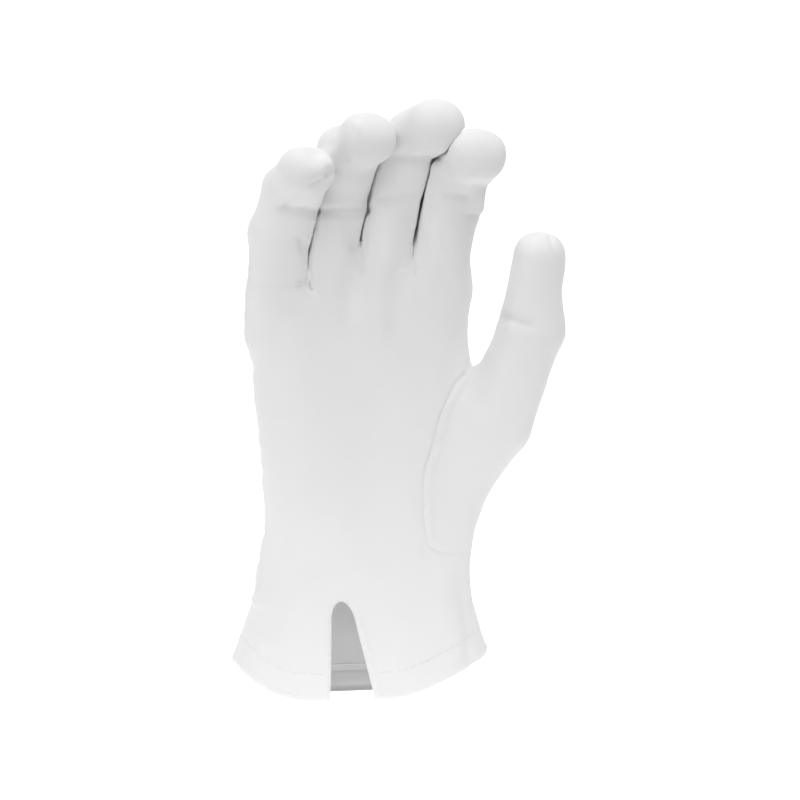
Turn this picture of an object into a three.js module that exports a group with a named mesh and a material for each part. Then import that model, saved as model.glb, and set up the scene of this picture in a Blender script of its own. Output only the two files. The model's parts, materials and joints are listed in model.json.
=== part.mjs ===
// A white cotton parade glove for the right hand, holding the form of a relaxed hand: sewn pieces of cloth,
// hollow, open at the wrist. Millimetres. +Z runs from the wrist opening to the fingertips, -Y is the
// palm's side and +X the thumb's. The origin is the middle of the wrist opening.
import * as THREE from "three";

// Cloth and seams.
const CLOTH = 1.0; // thickness of the knitted cotton
const SEAM_GAP = 0.45; // between pieces sewn edge to edge
const LAYER_GAP = 0.35; // between the outer cloth and a turning inside it
const FINGER_GAP = 1.0; // least space between neighbouring fingers

// The cuff and the hand, across (X), deep (Y) and high (Z).
const RIM_WIDTH = 105;
const RIM_DEPTH = 58;
const WRIST_WIDTH = 83;
const WRIST_DEPTH = 47;
const PALM_WIDTH = 89;
const PALM_DEPTH = 32;
const CUFF_HEIGHT = 58; // rim to wrist
const HAND_HEIGHT = 105; // wrist to the roots of the fingers
const HEM_RISE_THUMB = 10.3; // of the rim at the thumb's side, above the origin
const HEM_RISE_LITTLE = 8; // of the rim at the little finger's side
const HEM_DROP_PALM = 4.2; // of the rim on the palm's side, below the origin
const HEM_DROP_BACK = 10; // of the rim on the back
const HEM_HEIGHT = 11; // of the turned-up hem inside the rim
const SQUARENESS = 2.3; // of the tube's outline, where 2 is an ellipse
const FINGER_SQUARENESS = 2.3;
const CROWN_ROUNDING = 9; // where the palm closes between the fingers

// The tube of the cuff and palm. up is 0 at the origin's height, 1 at the wrist and 2 at the roots of the
// fingers. wide and deep run from the wrist's size at 0 to the rim's below it, or the palm's above it, at
// 1. shift is a share of PALM_WIDTH.
const TUBE = [
  { up: -0.25, wide: 1.04, deep: 1.04, shift: 0.0 },
  { up: 0.1, wide: 0.99, deep: 0.99, shift: 0.0 },
  { up: 0.35, wide: 0.62, deep: 0.72, shift: 0.002 },
  { up: 0.65, wide: 0.2, deep: 0.3, shift: 0.016 },
  { up: 1.0, wide: 0.0, deep: 0.0, shift: 0.03 },
  { up: 1.25, wide: 0.1, deep: 0.2, shift: 0.022 },
  { up: 1.5, wide: 0.5, deep: 0.66, shift: 0.002 },
  { up: 1.75, wide: 0.9, deep: 1.0, shift: -0.004 },
  { up: 1.9, wide: 0.98, deep: 1.3, shift: -0.002 },
  { up: 2.0, wide: 1.0, deep: 1.5, shift: -0.002 },
  { up: 2.4, wide: 1.0, deep: 1.6, shift: -0.002 },
];

// The middle finger from its knuckle to its tip, front to back and side to side.
const FINGER_LENGTH = 102;
const FINGER_THICK = 21.5;
const FINGER_WIDTH = 26.5;

// The fingers from the thumb's side. across is the knuckle's place as a share of PALM_WIDTH and knuckle its
// height, 1 to 2 as up in TUBE. forward is its place towards the palm as a share of PALM_DEPTH. web is the
// height, in the same terms as knuckle, where the finger parts from the next one.
const FINGERS = [
  { name: "index", across: 0.302, knuckle: 1.87, forward: 0.03, web: 2.055 },
  { name: "middle", across: 0.055, knuckle: 1.87, forward: 0.0, web: 2.06 },
  { name: "ring", across: -0.185, knuckle: 1.85, forward: 0.03, web: 1.98 },
  { name: "little", across: -0.382, knuckle: 1.78, forward: 0.05, web: 1.98 },
];
// Their sizes as shares of the middle finger's, and how they curl, in degrees: lean tips a finger towards
// the thumb, toe turns its bend that way and bends are each bone's angle off upright.
const FINGER_FORMS = [
  { name: "index", length: 0.9216, thick: 0.9767, wide: 1.0, lean: 7.5, toe: 2, bends: [12, 47, 78] },
  { name: "middle", length: 1.0, thick: 1.0, wide: 1.0, lean: 8.5, toe: 8, bends: [10, 32, 74] },
  { name: "ring", length: 0.9314, thick: 0.9302, wide: 1.0, lean: 2.5, toe: 13, bends: [10, 28, 72] },
  { name: "little", length: 0.8725, thick: 0.9302, wide: 0.9434, lean: -3, toe: 12, bends: [12, 40, 64] },
];
// The knuckle, the two joints and the middle of the fingertip: along the finger as shares of its length
// less the tip's radius, with the shares of its thick and wide that it has there.
const JOINTS = [
  { name: "knuckle", along: 0.0, thick: 0.92, wide: 0.94 },
  { name: "middle_joint", along: 0.51, thick: 1.0, wide: 1.0 },
  { name: "end_joint", along: 0.81, thick: 0.97, wide: 0.94 },
  { name: "tip", along: 1.0, thick: 1.0, wide: 0.88 },
];

// The thumb's bones, each with its angles off upright towards the thumb's side and the palm's, in degrees,
// its length as a share of THUMB_LENGTH, and how thick the thumb is where it starts as a share of
// THUMB_THICK. The root's place is given as for a finger.
const THUMB_LENGTH = 118.5;
const THUMB_THICK = 25.4;
const THUMB_TIP_THICK = 20.4;
const THUMB_ROOT = { across: 0.335, up: 1.03, forward: 0.12 };
const THUMB_BONES = [
  { name: "base", spread: 30, forward: 10, length: 0.4093, thick: 0.6693 },
  { name: "middle", spread: 16, forward: 12, length: 0.346, thick: 1.0 },
  { name: "end", spread: 4.5, forward: 10, length: 0.2447, thick: 0.9843 },
];
const THUMB_FREE = 0.655; // share of the thumb's length where it stands clear of the hand

// Where the thumb piece is sewn in, as the lines of sight that find the seam from inside the hand. up is
// their height as in TUBE, palm and back their distances from the thumb's side of the hand as shares of
// PALM_WIDTH, turn is 90 where they face the palm or the back and 0 where they face sideways, and lift is
// how far they point upwards, in degrees.
const THUMB_SEAM = [
  { up: 0.85, palm: 0.27, back: 0.27, turn: 0, lift: 0 },
  { up: 0.9, palm: 0.18, back: 0.1, turn: 85, lift: 0 },
  { up: 0.96, palm: 0.234, back: 0.13, turn: 90, lift: 0 },
  { up: 1.13, palm: 0.26, back: 0.15, turn: 90, lift: 0 },
  { up: 1.25, palm: 0.245, back: 0.14, turn: 90, lift: 0 },
  { up: 1.36, palm: 0.195, back: 0.12, turn: 90, lift: 0 },
  { up: 1.475, palm: 0.15, back: 0.09, turn: 88, lift: 2 },
  { up: 1.555, palm: 0.12, back: 0.07, turn: 60, lift: 22 },
  { up: 1.553, palm: 0.055, back: 0.055, turn: 0, lift: 66 },
];
const SEAM_LEFT = { bottom: 0.79, top: 1.64 }; // heights of the same rows at the little finger's side
const WEB_FORWARD = 0.22; // how far towards the palm the thumb's web lies, as a share of PALM_DEPTH

// The vent in the palm's side of the cuff.
const VENT_TOP = 34.5; // above the origin
const VENT_WIDTH_RIM = 18;
const VENT_WIDTH_TOP = 7.5;
const VENT_ACROSS_RIM = -9;
const VENT_ACROSS_TOP = -12.9;
const FACING_WIDTH = 4.5; // of the strip that backs the vent's edge

// Dents and swells of the cloth. across is a share of PALM_WIDTH from the middle, up is as in TUBE, wide
// and tall are shares of PALM_WIDTH and HAND_HEIGHT, and deep is a share of DENT, less than nothing for a
// swell.
const DENT = 2;
const DENTS = [
  { name: "palm_hollow", face: -1, across: -0.02, up: 1.5, wide: 0.2, tall: 0.3, deep: 1.0 },
  { name: "heel_of_hand", face: -1, across: -0.28, up: 1.3, wide: 0.16, tall: 0.3, deep: -0.9 },
  { name: "finger_pads", face: -1, across: -0.1, up: 1.86, wide: 0.3, tall: 0.06, deep: -0.5 },
  { name: "cuff_fold_at_thumb", face: -1, across: 0.42, up: 0.62, wide: 0.06, tall: 0.2, deep: 0.9 },
  { name: "cuff_fold_at_little", face: -1, across: -0.4, up: 0.7, wide: 0.07, tall: 0.2, deep: 0.7 },
  { name: "knuckle_row", face: 1, across: 0.0, up: 1.78, wide: 0.4, tall: 0.08, deep: -0.5 },
  { name: "back_of_wrist", face: 1, across: 0.0, up: 1.02, wide: 0.3, tall: 0.12, deep: 0.8 },
];

// Dents and swells of the thumb's outer (1) or inner (-1) side. along is a share of the thumb's length and
// wide of its tip's thickness, and deep is as in DENTS.
const THUMB_DENTS = [
  { name: "below_the_tip", side: 1, along: 0.9, wide: 0.34, deep: 0.8 },
  { name: "joint", side: 1, along: 0.75, wide: 0.24, deep: -0.5 },
  { name: "inside_of_joint", side: -1, along: 0.75, wide: 0.22, deep: 0.8 },
];

// How softly the forms run into one another.
const FINGER_BLEND = 8;
const THUMB_BLEND = 15;
const WEB_BLEND = 5; // between neighbouring fingers below their web
const WEB_FADE = 8; // height over which that ends
const JOINT_BLEND = 3;

// Steps of the surfaces.
const FINGER_COLUMNS = 5; // across each finger's front, and each quarter of the palm
const BACK_COLUMNS = 4; // the same on the back
const GUSSET_COLUMNS = 3;
const VENT_ROWS = 6;
const WRIST_ROWS = 3;
const SEAM_ROWS = 11;
const KNUCKLE_ROWS = 5;
const FINGER_ROWS = 8;
const TIP_ROWS = 3;
const HEM_ROWS = 2;
const THUMB_BASE_ROWS = 7;
const THUMB_ROWS = 5;

const vec = (x, y, z) => new THREE.Vector3(x, y, z);
const rad = THREE.MathUtils.degToRad;
const mix = THREE.MathUtils.lerp;
const ease = (t) => THREE.MathUtils.smoothstep(t, 0, 1);
const heightAt = (up) => (up < 1 ? up * CUFF_HEIGHT : CUFF_HEIGHT + (up - 1) * HAND_HEIGHT);
const upAt = (z) => (z < CUFF_HEIGHT ? z / CUFF_HEIGHT : 1 + (z - CUFF_HEIGHT) / HAND_HEIGHT);

// Smooth reading of one column of a table at a value of its first column.
function readTable(table, key, value, column) {
  const last = table.length - 1;
  let i = table.findIndex((row) => row[key] > value) - 1;
  if (i === -2) i = last - 1;
  i = THREE.MathUtils.clamp(i, 0, last - 1);
  const [a, b] = [table[i], table[i + 1]];
  const [before, after] = [table[Math.max(i - 1, 0)], table[Math.min(i + 2, last)]];
  const step = b[key] - a[key] || 1;
  const t = THREE.MathUtils.clamp((value - a[key]) / step, 0, 1);
  const slopeA = ((b[column] - before[column]) / (b[key] - before[key] || 1)) * step;
  const slopeB = ((after[column] - a[column]) / (after[key] - a[key] || 1)) * step;
  const [t2, t3] = [t * t, t * t * t];
  const fromA = (2 * t3 - 3 * t2 + 1) * a[column] + (t3 - 2 * t2 + t) * slopeA;
  return fromA + (3 * t2 - 2 * t3) * b[column] + (t3 - t2) * slopeB;
}

// Least of two distances, rounded where they meet.
function blend(a, b, size) {
  const h = Math.max(size - Math.abs(a - b), 0) / size;
  return Math.min(a, b) - (h * h * size) / 4;
}

// Half width, half depth and middle of the tube at a height.
function section(z) {
  const up = upAt(z);
  const [width, depth] = up < 1 ? [RIM_WIDTH, RIM_DEPTH] : [PALM_WIDTH, PALM_DEPTH];
  return {
    a: mix(WRIST_WIDTH, width, readTable(TUBE, "up", up, "wide")) / 2,
    b: mix(WRIST_DEPTH, depth, readTable(TUBE, "up", up, "deep")) / 2,
    x: PALM_WIDTH * readTable(TUBE, "up", up, "shift"),
  };
}

// Distance from a point to an oval about the middle, where 2 is an ellipse and more is squarer.
function ovalDistance(x, y, a, b, squareness) {
  const [u, v] = [Math.abs(x) / a, Math.abs(y) / b];
  const r = Math.max((u ** squareness + v ** squareness) ** (1 / squareness), 1e-6);
  const slope = Math.hypot((u / r) ** (squareness - 1) / a, (v / r) ** (squareness - 1) / b);
  return (r - 1) / Math.max(slope, 1e-3);
}

function dentAt(p) {
  const [across, up] = [p.x / PALM_WIDTH, upAt(p.z)];
  return DENTS.reduce((sum, dent) => {
    const side = THREE.MathUtils.clamp((dent.face * p.y) / DENT / 2, 0, 1);
    const spread = ((across - dent.across) / dent.wide) ** 2 + ((up - dent.up) / dent.tall) ** 2;
    return sum + DENT * dent.deep * side * Math.exp(-spread);
  }, 0);
}

function tubeDistance(p) {
  const s = section(p.z);
  const wall = ovalDistance(p.x - s.x, p.y, s.a, s.b, SQUARENESS) + dentAt(p);
  return -blend(-wall, crownHeight(p.x) - p.z, CROWN_ROUNDING);
}

// Bones and the fingers round them.
function makeFinger(row, index) {
  const { length, lean, toe, bends } = FINGER_FORMS[index];
  const turn = new THREE.Matrix4().makeRotationY(rad(lean));
  turn.multiply(new THREE.Matrix4().makeRotationZ(rad(toe)));
  const side = vec(1, 0, 0).transformDirection(turn);
  const thick = FINGER_FORMS[index].thick * FINGER_THICK;
  const wide = FINGER_FORMS[index].wide * FINGER_WIDTH;
  const reach = length * FINGER_LENGTH - thick / 2;
  const points = [vec(row.across * PALM_WIDTH, -row.forward * PALM_DEPTH, heightAt(row.knuckle))];
  const directions = [];
  bends.forEach((bend, i) => {
    const direction = vec(0, -Math.sin(rad(bend)), Math.cos(rad(bend))).transformDirection(turn);
    directions.push(direction);
    const bone = (JOINTS[i + 1].along - JOINTS[i].along) * reach;
    points.push(points[i].clone().addScaledVector(direction, bone));
  });
  const thicks = JOINTS.map((joint) => (joint.thick * thick) / 2);
  const wides = JOINTS.map((joint) => (joint.wide * wide) / 2);
  return { ...row, rise: Math.cos(rad(bends[0])), side, points, directions, thicks, wides };
}

function makeThumb() {
  const { across, up, forward } = THUMB_ROOT;
  const points = [vec(across * PALM_WIDTH, -forward * PALM_DEPTH, heightAt(up))];
  const directions = [];
  THUMB_BONES.forEach((bone, i) => {
    const direction = vec(
      Math.cos(rad(bone.forward)) * Math.sin(rad(bone.spread)),
      -Math.sin(rad(bone.forward)),
      Math.cos(rad(bone.forward)) * Math.cos(rad(bone.spread)),
    );
    directions.push(direction);
    points.push(points[i].clone().addScaledVector(direction, bone.length * THUMB_LENGTH));
  });
  const thicks = [...THUMB_BONES.map((bone) => (bone.thick * THUMB_THICK) / 2), THUMB_TIP_THICK / 2];
  return { points, directions, thicks, wides: thicks, side: vec(1, 0, 0) };
}

// Distance to the skin round a chain of bones.
function chainDistance(p, chain) {
  let nearest = Infinity;
  chain.directions.forEach((direction, i) => {
    const [a, b] = [chain.points[i], chain.points[i + 1]];
    const length = a.distanceTo(b);
    const offset = p.clone().sub(a);
    const along = THREE.MathUtils.clamp(offset.dot(direction), 0, length);
    offset.addScaledVector(direction, -along);
    const across = offset.dot(chain.side);
    const deep = Math.sqrt(Math.max(offset.lengthSq() - across * across, 0));
    const wide = mix(chain.wides[i], chain.wides[i + 1], along / length);
    const thick = mix(chain.thicks[i], chain.thicks[i + 1], along / length);
    nearest = blend(nearest, ovalDistance(across, deep, wide, thick, FINGER_SQUARENESS), JOINT_BLEND);
  });
  return nearest;
}

// A chain of bones at a distance along it. front points to the palm's side.
function chainAt(chain, along) {
  const lengths = chain.directions.map((_, i) => chain.points[i].distanceTo(chain.points[i + 1]));
  const starts = lengths.map((_, i) => lengths.slice(0, i).reduce((sum, length) => sum + length, 0));
  const bone = Math.max(starts.findLastIndex((start) => start <= along), 0);
  const point = chain.points[bone].clone().addScaledVector(chain.directions[bone], along - starts[bone]);
  const middles = starts.map((start, i) => start + lengths[i] / 2);
  middles[middles.length - 1] += lengths[lengths.length - 1] / 2;
  const next = middles.findIndex((middle) => middle > along);
  const direction = chain.directions.at(next).clone();
  if (next > 0) {
    const share = (along - middles[next - 1]) / (middles[next] - middles[next - 1]);
    direction.lerp(chain.directions[next - 1], 1 - share).normalize();
  }
  const side = chain.side.clone().addScaledVector(direction, -chain.side.dot(direction)).normalize();
  return { point, direction, side, front: side.clone().cross(direction) };
}

function chainLength(chain) {
  return chain.points.slice(1).reduce((sum, point, i) => sum + point.distanceTo(chain.points[i]), 0);
}

const fingers = FINGERS.map(makeFinger);
const thumb = makeThumb();
const webs = fingers.slice(0, -1).map((finger, i) => ({
  x: (finger.points[0].x + fingers[i + 1].points[0].x) / 2,
  z: heightAt(finger.web),
}));

const thumbDents = THUMB_DENTS.map((dent) => {
  const at = chainAt(thumb, dent.along * chainLength(thumb));
  return { ...dent, point: at.point.addScaledVector(at.side, (dent.side * THUMB_TIP_THICK) / 2) };
});

// Height at which the palm closes: the webs' heights, read across the hand.
function crownHeight(x) {
  if (x >= webs[0].x) return webs[0].z;
  for (let i = 1; i < webs.length; i += 1) {
    const share = (x - webs[i].x) / (webs[i - 1].x - webs[i].x);
    if (share >= 0) return mix(webs[i].z, webs[i - 1].z, share);
  }
  return webs[webs.length - 1].z;
}

// Distance to the glove's outer face, less than nothing inside it.
function gloveDistance(p) {
  const palm = tubeDistance(p);
  const apart = fingers.map((finger) => chainDistance(p, finger));
  const dent = thumbDents.reduce((sum, { point, wide, deep }) => {
    return sum + DENT * deep * Math.exp(-((p.distanceTo(point) / wide / THUMB_TIP_THICK) ** 2));
  }, 0);
  const soft = mix(0.01, WEB_BLEND, THREE.MathUtils.clamp((crownHeight(p.x) - p.z) / WEB_FADE - 0.5, 0, 1));
  let together = Infinity;
  apart.forEach((distance, i) => {
    const others = Math.min(apart[i - 1] ?? Infinity, apart[i + 1] ?? Infinity);
    const parted = Math.max(distance, (distance - others + FINGER_GAP) / 2);
    together = blend(together, parted, soft);
  });
  const withThumb = blend(palm, chainDistance(p, thumb) + dent, THUMB_BLEND);
  return Math.min(withThumb, blend(palm, together, FINGER_BLEND));
}

function outward(p) {
  const h = 0.05;
  const at = (axis, step) => gloveDistance(p.clone().addScaledVector(axis, step));
  const slope = (axis) => at(axis, h) - at(axis, -h);
  return vec(slope(vec(1, 0, 0)), slope(vec(0, 1, 0)), slope(vec(0, 0, 1))).normalize();
}

// The point where a line from inside the glove leaves it.
const STEP = FINGER_GAP / 3;
const REACH = 90;
const HALVINGS = 24;
function leave({ from, to }) {
  const at = (t) => from.clone().addScaledVector(to, t);
  let t = 0;
  while (t < REACH && gloveDistance(at(t)) > 0) t += STEP;
  while (t < REACH && gloveDistance(at(t)) <= 0) t += STEP;
  let [low, high] = [t - STEP, t];
  for (let i = 0; i < HALVINGS; i += 1) {
    const middle = (low + high) / 2;
    if (gloveDistance(at(middle)) <= 0) low = middle;
    else high = middle;
  }
  return at(low);
}

// A line of sight is a point inside the glove and a direction out of it. Every point of the cloth is found
// by one, and the lines turn smoothly from one piece's edge to the next piece's.
const sight = (from, to) => ({ from, to: to.normalize() });
const between = (s, t, share) => sight(s.from.clone().lerp(t.from, share), s.to.clone().lerp(t.to, share));

// Rows run from the rim upwards: vent, wrist, thumb seam, knuckles, fingers, tips.
const ROW_VENT = VENT_ROWS;
const ROW_WRIST = ROW_VENT + WRIST_ROWS;
const ROW_KNUCKLES = ROW_WRIST + SEAM_ROWS;
const ROW_WEBS = ROW_KNUCKLES + KNUCKLE_ROWS;
const ROW_TIPS = ROW_WEBS + FINGER_ROWS;
const ROW_END = ROW_TIPS + TIP_ROWS;
const WEB_DEPTH = 4; // from a web down to the point that its lines of sight start from
const WEB_CLEAR = 7; // from a web up to the first row that runs round a finger
const WEB_SPREAD = 4; // of those points towards the palm and the back
const GUSSET_EDGE = 65; // degrees round a finger from its front or back to the gusset's edge
const TIP_EDGE = 40; // degrees down from the fingertip to the gusset's point
const VENT_AT = 0.4; // where the vent parts the palm panel, of its width
const VENT_EASE = 1.6; // how the rows crowd towards the vent's top
const VENT_SETTLE = 60; // height over which the rows above the vent even out
const VENT_ROUNDING = 0.17; // share of the vent's height over which its top is rounded
const RIM_CURVE_THUMB = 1.05; // how the rim falls on the palm's side, from the thumb's side to the middle
const RIM_CURVE_LITTLE = 3.6; // the same from the little finger's side
const RIM_CURVE_BACK = 2;
const SHARPEST = 0.2; // keeps an edge's sharp corners from running far out
const LIFT_ROWS = 2; // rows above the thumb's seam over which its lines of sight level out
const PALM = -1;
const BACK = 1;

const seamSteps = THUMB_SEAM.map((entry, step) => ({ step, ...entry }));
const seamEnd = THUMB_SEAM.length - 1;
function seamRead(row, column) {
  const share = THREE.MathUtils.clamp((row - ROW_WRIST) / SEAM_ROWS, 0, 1);
  return readTable(seamSteps, "step", share * seamEnd, column);
}

// Height of the rim in a direction round the tube, where 0 is the thumb's side and 90 the palm or the back.
function rimHeight(turn, face) {
  const side = Math.cos(rad(turn));
  const rise = side > 0 ? HEM_RISE_THUMB : HEM_RISE_LITTLE;
  const palmCurve = side > 0 ? RIM_CURVE_THUMB : RIM_CURVE_LITTLE;
  const [drop, curve] = face === PALM ? [HEM_DROP_PALM, palmCurve] : [HEM_DROP_BACK, RIM_CURVE_BACK];
  return mix(-drop, rise, Math.abs(side) ** curve);
}

// The vent's edge at a height, on its side towards the little finger (-1) or the thumb (1).
function ventEdge(z, towards) {
  const share = THREE.MathUtils.clamp((VENT_TOP - z) / (VENT_TOP + HEM_DROP_PALM), 0, 1);
  const round = Math.sqrt(1 - (1 - Math.min(share / VENT_ROUNDING, 1)) ** 2);
  const half = (mix(VENT_WIDTH_TOP, VENT_WIDTH_RIM, share) / 2) * round;
  return mix(VENT_ACROSS_TOP, VENT_ACROSS_RIM, share) + towards * half;
}

// Height of a row at a place across the cuff or palm, from 0 at the little finger's side to 1 at the
// thumb's.
function rowHeight(row, across, turn, face) {
  const wrist = mix(heightAt(SEAM_LEFT.bottom), heightAt(THUMB_SEAM[0].up), across);
  const knuckles = mix(heightAt(SEAM_LEFT.top), heightAt(THUMB_SEAM[seamEnd].up), across);
  if (row <= ROW_VENT) return mix(VENT_TOP, rimHeight(turn, face), (1 - row / VENT_ROWS) ** VENT_EASE);
  if (row <= ROW_WRIST) return mix(VENT_TOP, wrist, (row - ROW_VENT) / WRIST_ROWS);
  if (row <= ROW_KNUCKLES) {
    const left = mix(heightAt(SEAM_LEFT.bottom), heightAt(SEAM_LEFT.top), (row - ROW_WRIST) / SEAM_ROWS);
    return mix(left, heightAt(seamRead(row, "up")), across);
  }
  const crown = crownHeight((across - 0.5) * PALM_WIDTH) - WEB_DEPTH;
  return mix(knuckles, crown, (row - ROW_KNUCKLES) / KNUCKLE_ROWS);
}

// Line of sight out of the cuff or palm, at a row or, in the cuff, at a given height. Below the vent's top,
// towards says on which side of the vent.
function tubeSight(row, across, face, towards = 0, height = null) {
  const s = 2 * across - 1;
  const above = height === null && row > ROW_WRIST;
  const turnEnd = above ? seamRead(row, "turn") : 0;
  const turn = rad(90 - (s < 0 ? 90 : 90 - turnEnd) * s ** 3);
  const z = height ?? rowHeight(row, across, THREE.MathUtils.radToDeg(turn), face);
  const tube = section(z);
  const inset = above ? seamRead(row, face === PALM ? "palm" : "back") * PALM_WIDTH : tube.b;
  const fade = 1 - THREE.MathUtils.clamp((row - ROW_KNUCKLES) / LIFT_ROWS, 0, 1);
  const lift = above ? rad(seamRead(row, "lift")) * Math.max(s, 0) ** 3 * fade : 0;
  const [left, right] = [tube.x - tube.a + tube.b, tube.x + tube.a - inset];
  let x = mix(left, right, across);
  if (face === PALM) {
    const even = mix(left, right, VENT_AT);
    const aboveVent = mix(VENT_ACROSS_TOP, even, ease((z - VENT_TOP) / VENT_SETTLE));
    const vent = z < VENT_TOP ? ventEdge(z, towards) : aboveVent;
    const low = across < VENT_AT || (across === VENT_AT && towards < 0);
    x = low ? mix(left, vent, across / VENT_AT) : mix(vent, right, (across - VENT_AT) / (1 - VENT_AT));
  }
  const y = -WEB_FORWARD * PALM_DEPTH * Math.sin(lift);
  const [outX, outY] = [Math.cos(turn) * Math.cos(lift), face * Math.sin(turn) * Math.cos(lift)];
  return sight(vec(x, y, z), vec(outX, outY, Math.sin(lift)));
}

// Line of sight out of a finger or thumb, turned in degrees from its front towards the thumb's side.
function ringSight(chain, along, turn) {
  const at = chainAt(chain, along);
  const to = at.front.multiplyScalar(Math.cos(rad(turn))).addScaledVector(at.side, Math.sin(rad(turn)));
  return sight(at.point, to);
}

// Where a row lies along a finger, from just below its higher web.
function fingerAlong(index, row) {
  const finger = fingers[index];
  const web = Math.max(...webs.slice(Math.max(index - 1, 0), index + 1).map((place) => place.z));
  const alongAt = (z) => (z - finger.points[0].z) / finger.rise;
  if (row <= ROW_WEBS) return alongAt(web - WEB_DEPTH);
  const share = Math.min((row - ROW_WEBS - 1) / (FINGER_ROWS - 1), 1);
  return mix(alongAt(web + WEB_CLEAR), chainLength(finger), share);
}

// The middle of the space between a finger and the next at a height.
function partingPoint(index, z) {
  const [a, b] = [index, index + 1].map((i) => {
    const { points, directions } = fingers[i];
    return points[0].clone().addScaledVector(directions[0], (z - points[0].z) / directions[0].z);
  });
  let [low, high] = [0, 1];
  for (let i = 0; i < HALVINGS; i += 1) {
    const middle = (low + high) / 2;
    const point = a.clone().lerp(b, middle);
    if (chainDistance(point, fingers[index]) < chainDistance(point, fingers[index + 1])) low = middle;
    else high = middle;
  }
  return a.lerp(b, low);
}

// Line of sight up into the web between a finger and the next: around runs from 0 at the palm's side to 1
// at the back.
function webSight(index, around) {
  const low = partingPoint(index, webs[index].z - WEB_DEPTH);
  const up = partingPoint(index, webs[index].z + WEB_CLEAR).sub(low).normalize();
  const front = fingers[index].side.clone().add(fingers[index + 1].side).normalize().cross(up);
  const [ahead, rise] = [Math.cos(Math.PI * around), Math.sin(Math.PI * around)];
  const to = front.clone().multiplyScalar(ahead).addScaledVector(up, rise);
  return sight(low.addScaledVector(front, WEB_SPREAD * ahead), to);
}

// Line of sight out of the side of a finger: of the finger at index (member 0) towards the next, or of the
// next (member 1) back towards it. around is as in webSight.
function gussetSight(index, member, row, around) {
  const finger = fingers[index + member];
  const hand = member === 0 ? -1 : 1;
  if (row <= ROW_WEBS) return webSight(index, around);
  if (row > ROW_TIPS) {
    return between(tipSight(finger, hand, row, PALM), tipSight(finger, hand, row, BACK), around);
  }
  const turn = hand * mix(GUSSET_EDGE, 180 - GUSSET_EDGE, around);
  return ringSight(finger, fingerAlong(index + member, row), turn);
}

// Degrees from the middle of a finger's front or back to a place across it, from -1 to 1 towards the thumb.
function turnAcross(finger, place) {
  const outer = (finger === fingers[0] && place > 0) || (finger === fingers.at(-1) && place < 0);
  return place * (outer ? 90 : GUSSET_EDGE);
}

function tipSight(finger, place, row, face) {
  const tip = chainAt(finger, chainLength(finger));
  const turn = rad(turnAcross(finger, place));
  const start = tip.front.multiplyScalar(-face * Math.cos(turn)).addScaledVector(tip.side, Math.sin(turn));
  const roll = rad(place * TIP_EDGE);
  const end = tip.direction.clone().multiplyScalar(Math.cos(roll)).addScaledVector(tip.side, Math.sin(roll));
  const angle = start.angleTo(end);
  const share = (row - ROW_TIPS) / TIP_ROWS;
  const [near, far] = [Math.sin((1 - share) * angle), Math.sin(share * angle)];
  return sight(tip.point, start.multiplyScalar(near).addScaledVector(end, far));
}

// Line of sight out of a finger's front or back.
function fingerSight(index, place, row, face) {
  if (row > ROW_TIPS) return tipSight(fingers[index], place, row, face);
  const turn = turnAcross(fingers[index], place);
  const finger = fingers[index];
  const ring = ringSight(finger, fingerAlong(index, row), face === PALM ? turn : 180 - turn);
  const web = place < 0 ? index : index - 1;
  if (row > ROW_WEBS || !webs[web]) return ring;
  return between(ring, webSight(web, face === PALM ? 0 : 1), Math.abs(place) ** 4);
}

// Line of sight out of the palm or back panel. column counts from the little finger's side, and strip is
// the finger above it.
function panelSight(row, column, columns, strip, face, towards) {
  const across = column / (4 * columns);
  const place = (2 * (column - strip * columns)) / columns - 1;
  const index = fingers.length - 1 - strip;
  if (row <= ROW_KNUCKLES) return tubeSight(row, across, face, towards);
  if (row >= ROW_WEBS) return fingerSight(index, place, row, face);
  const share = (row - ROW_KNUCKLES) / KNUCKLE_ROWS;
  return between(tubeSight(row, across, face, towards), fingerSight(index, place, ROW_WEBS, face), share);
}

// Line of sight out of the thumb piece: step counts round its seam, and row up from the seam.
const SEAM_STEPS = 2 * SEAM_ROWS;
const THUMB_END = THUMB_BASE_ROWS + THUMB_ROWS + TIP_ROWS;
function thumbSight(row, step) {
  const palmSide = step <= SEAM_ROWS;
  const seamRow = ROW_WRIST + (palmSide ? step : SEAM_STEPS - step);
  const seam = tubeSight(seamRow, 1, palmSide ? PALM : BACK);
  const turn = 90 - (360 * step) / SEAM_STEPS;
  const reach = chainLength(thumb);
  const free = ringSight(thumb, THUMB_FREE * reach, turn);
  if (row <= THUMB_BASE_ROWS) return between(seam, free, ease(row / THUMB_BASE_ROWS));
  const share = Math.min((row - THUMB_BASE_ROWS) / THUMB_ROWS, 1);
  const ring = ringSight(thumb, mix(THUMB_FREE, 1, share) * reach, turn);
  const tip = rad((90 * Math.max(row - THUMB_BASE_ROWS - THUMB_ROWS, 0)) / TIP_ROWS);
  const direction = chainAt(thumb, reach).direction;
  const to = ring.to.multiplyScalar(Math.cos(tip)).addScaledVector(direction, Math.sin(tip));
  return sight(ring.from, to);
}

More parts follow.
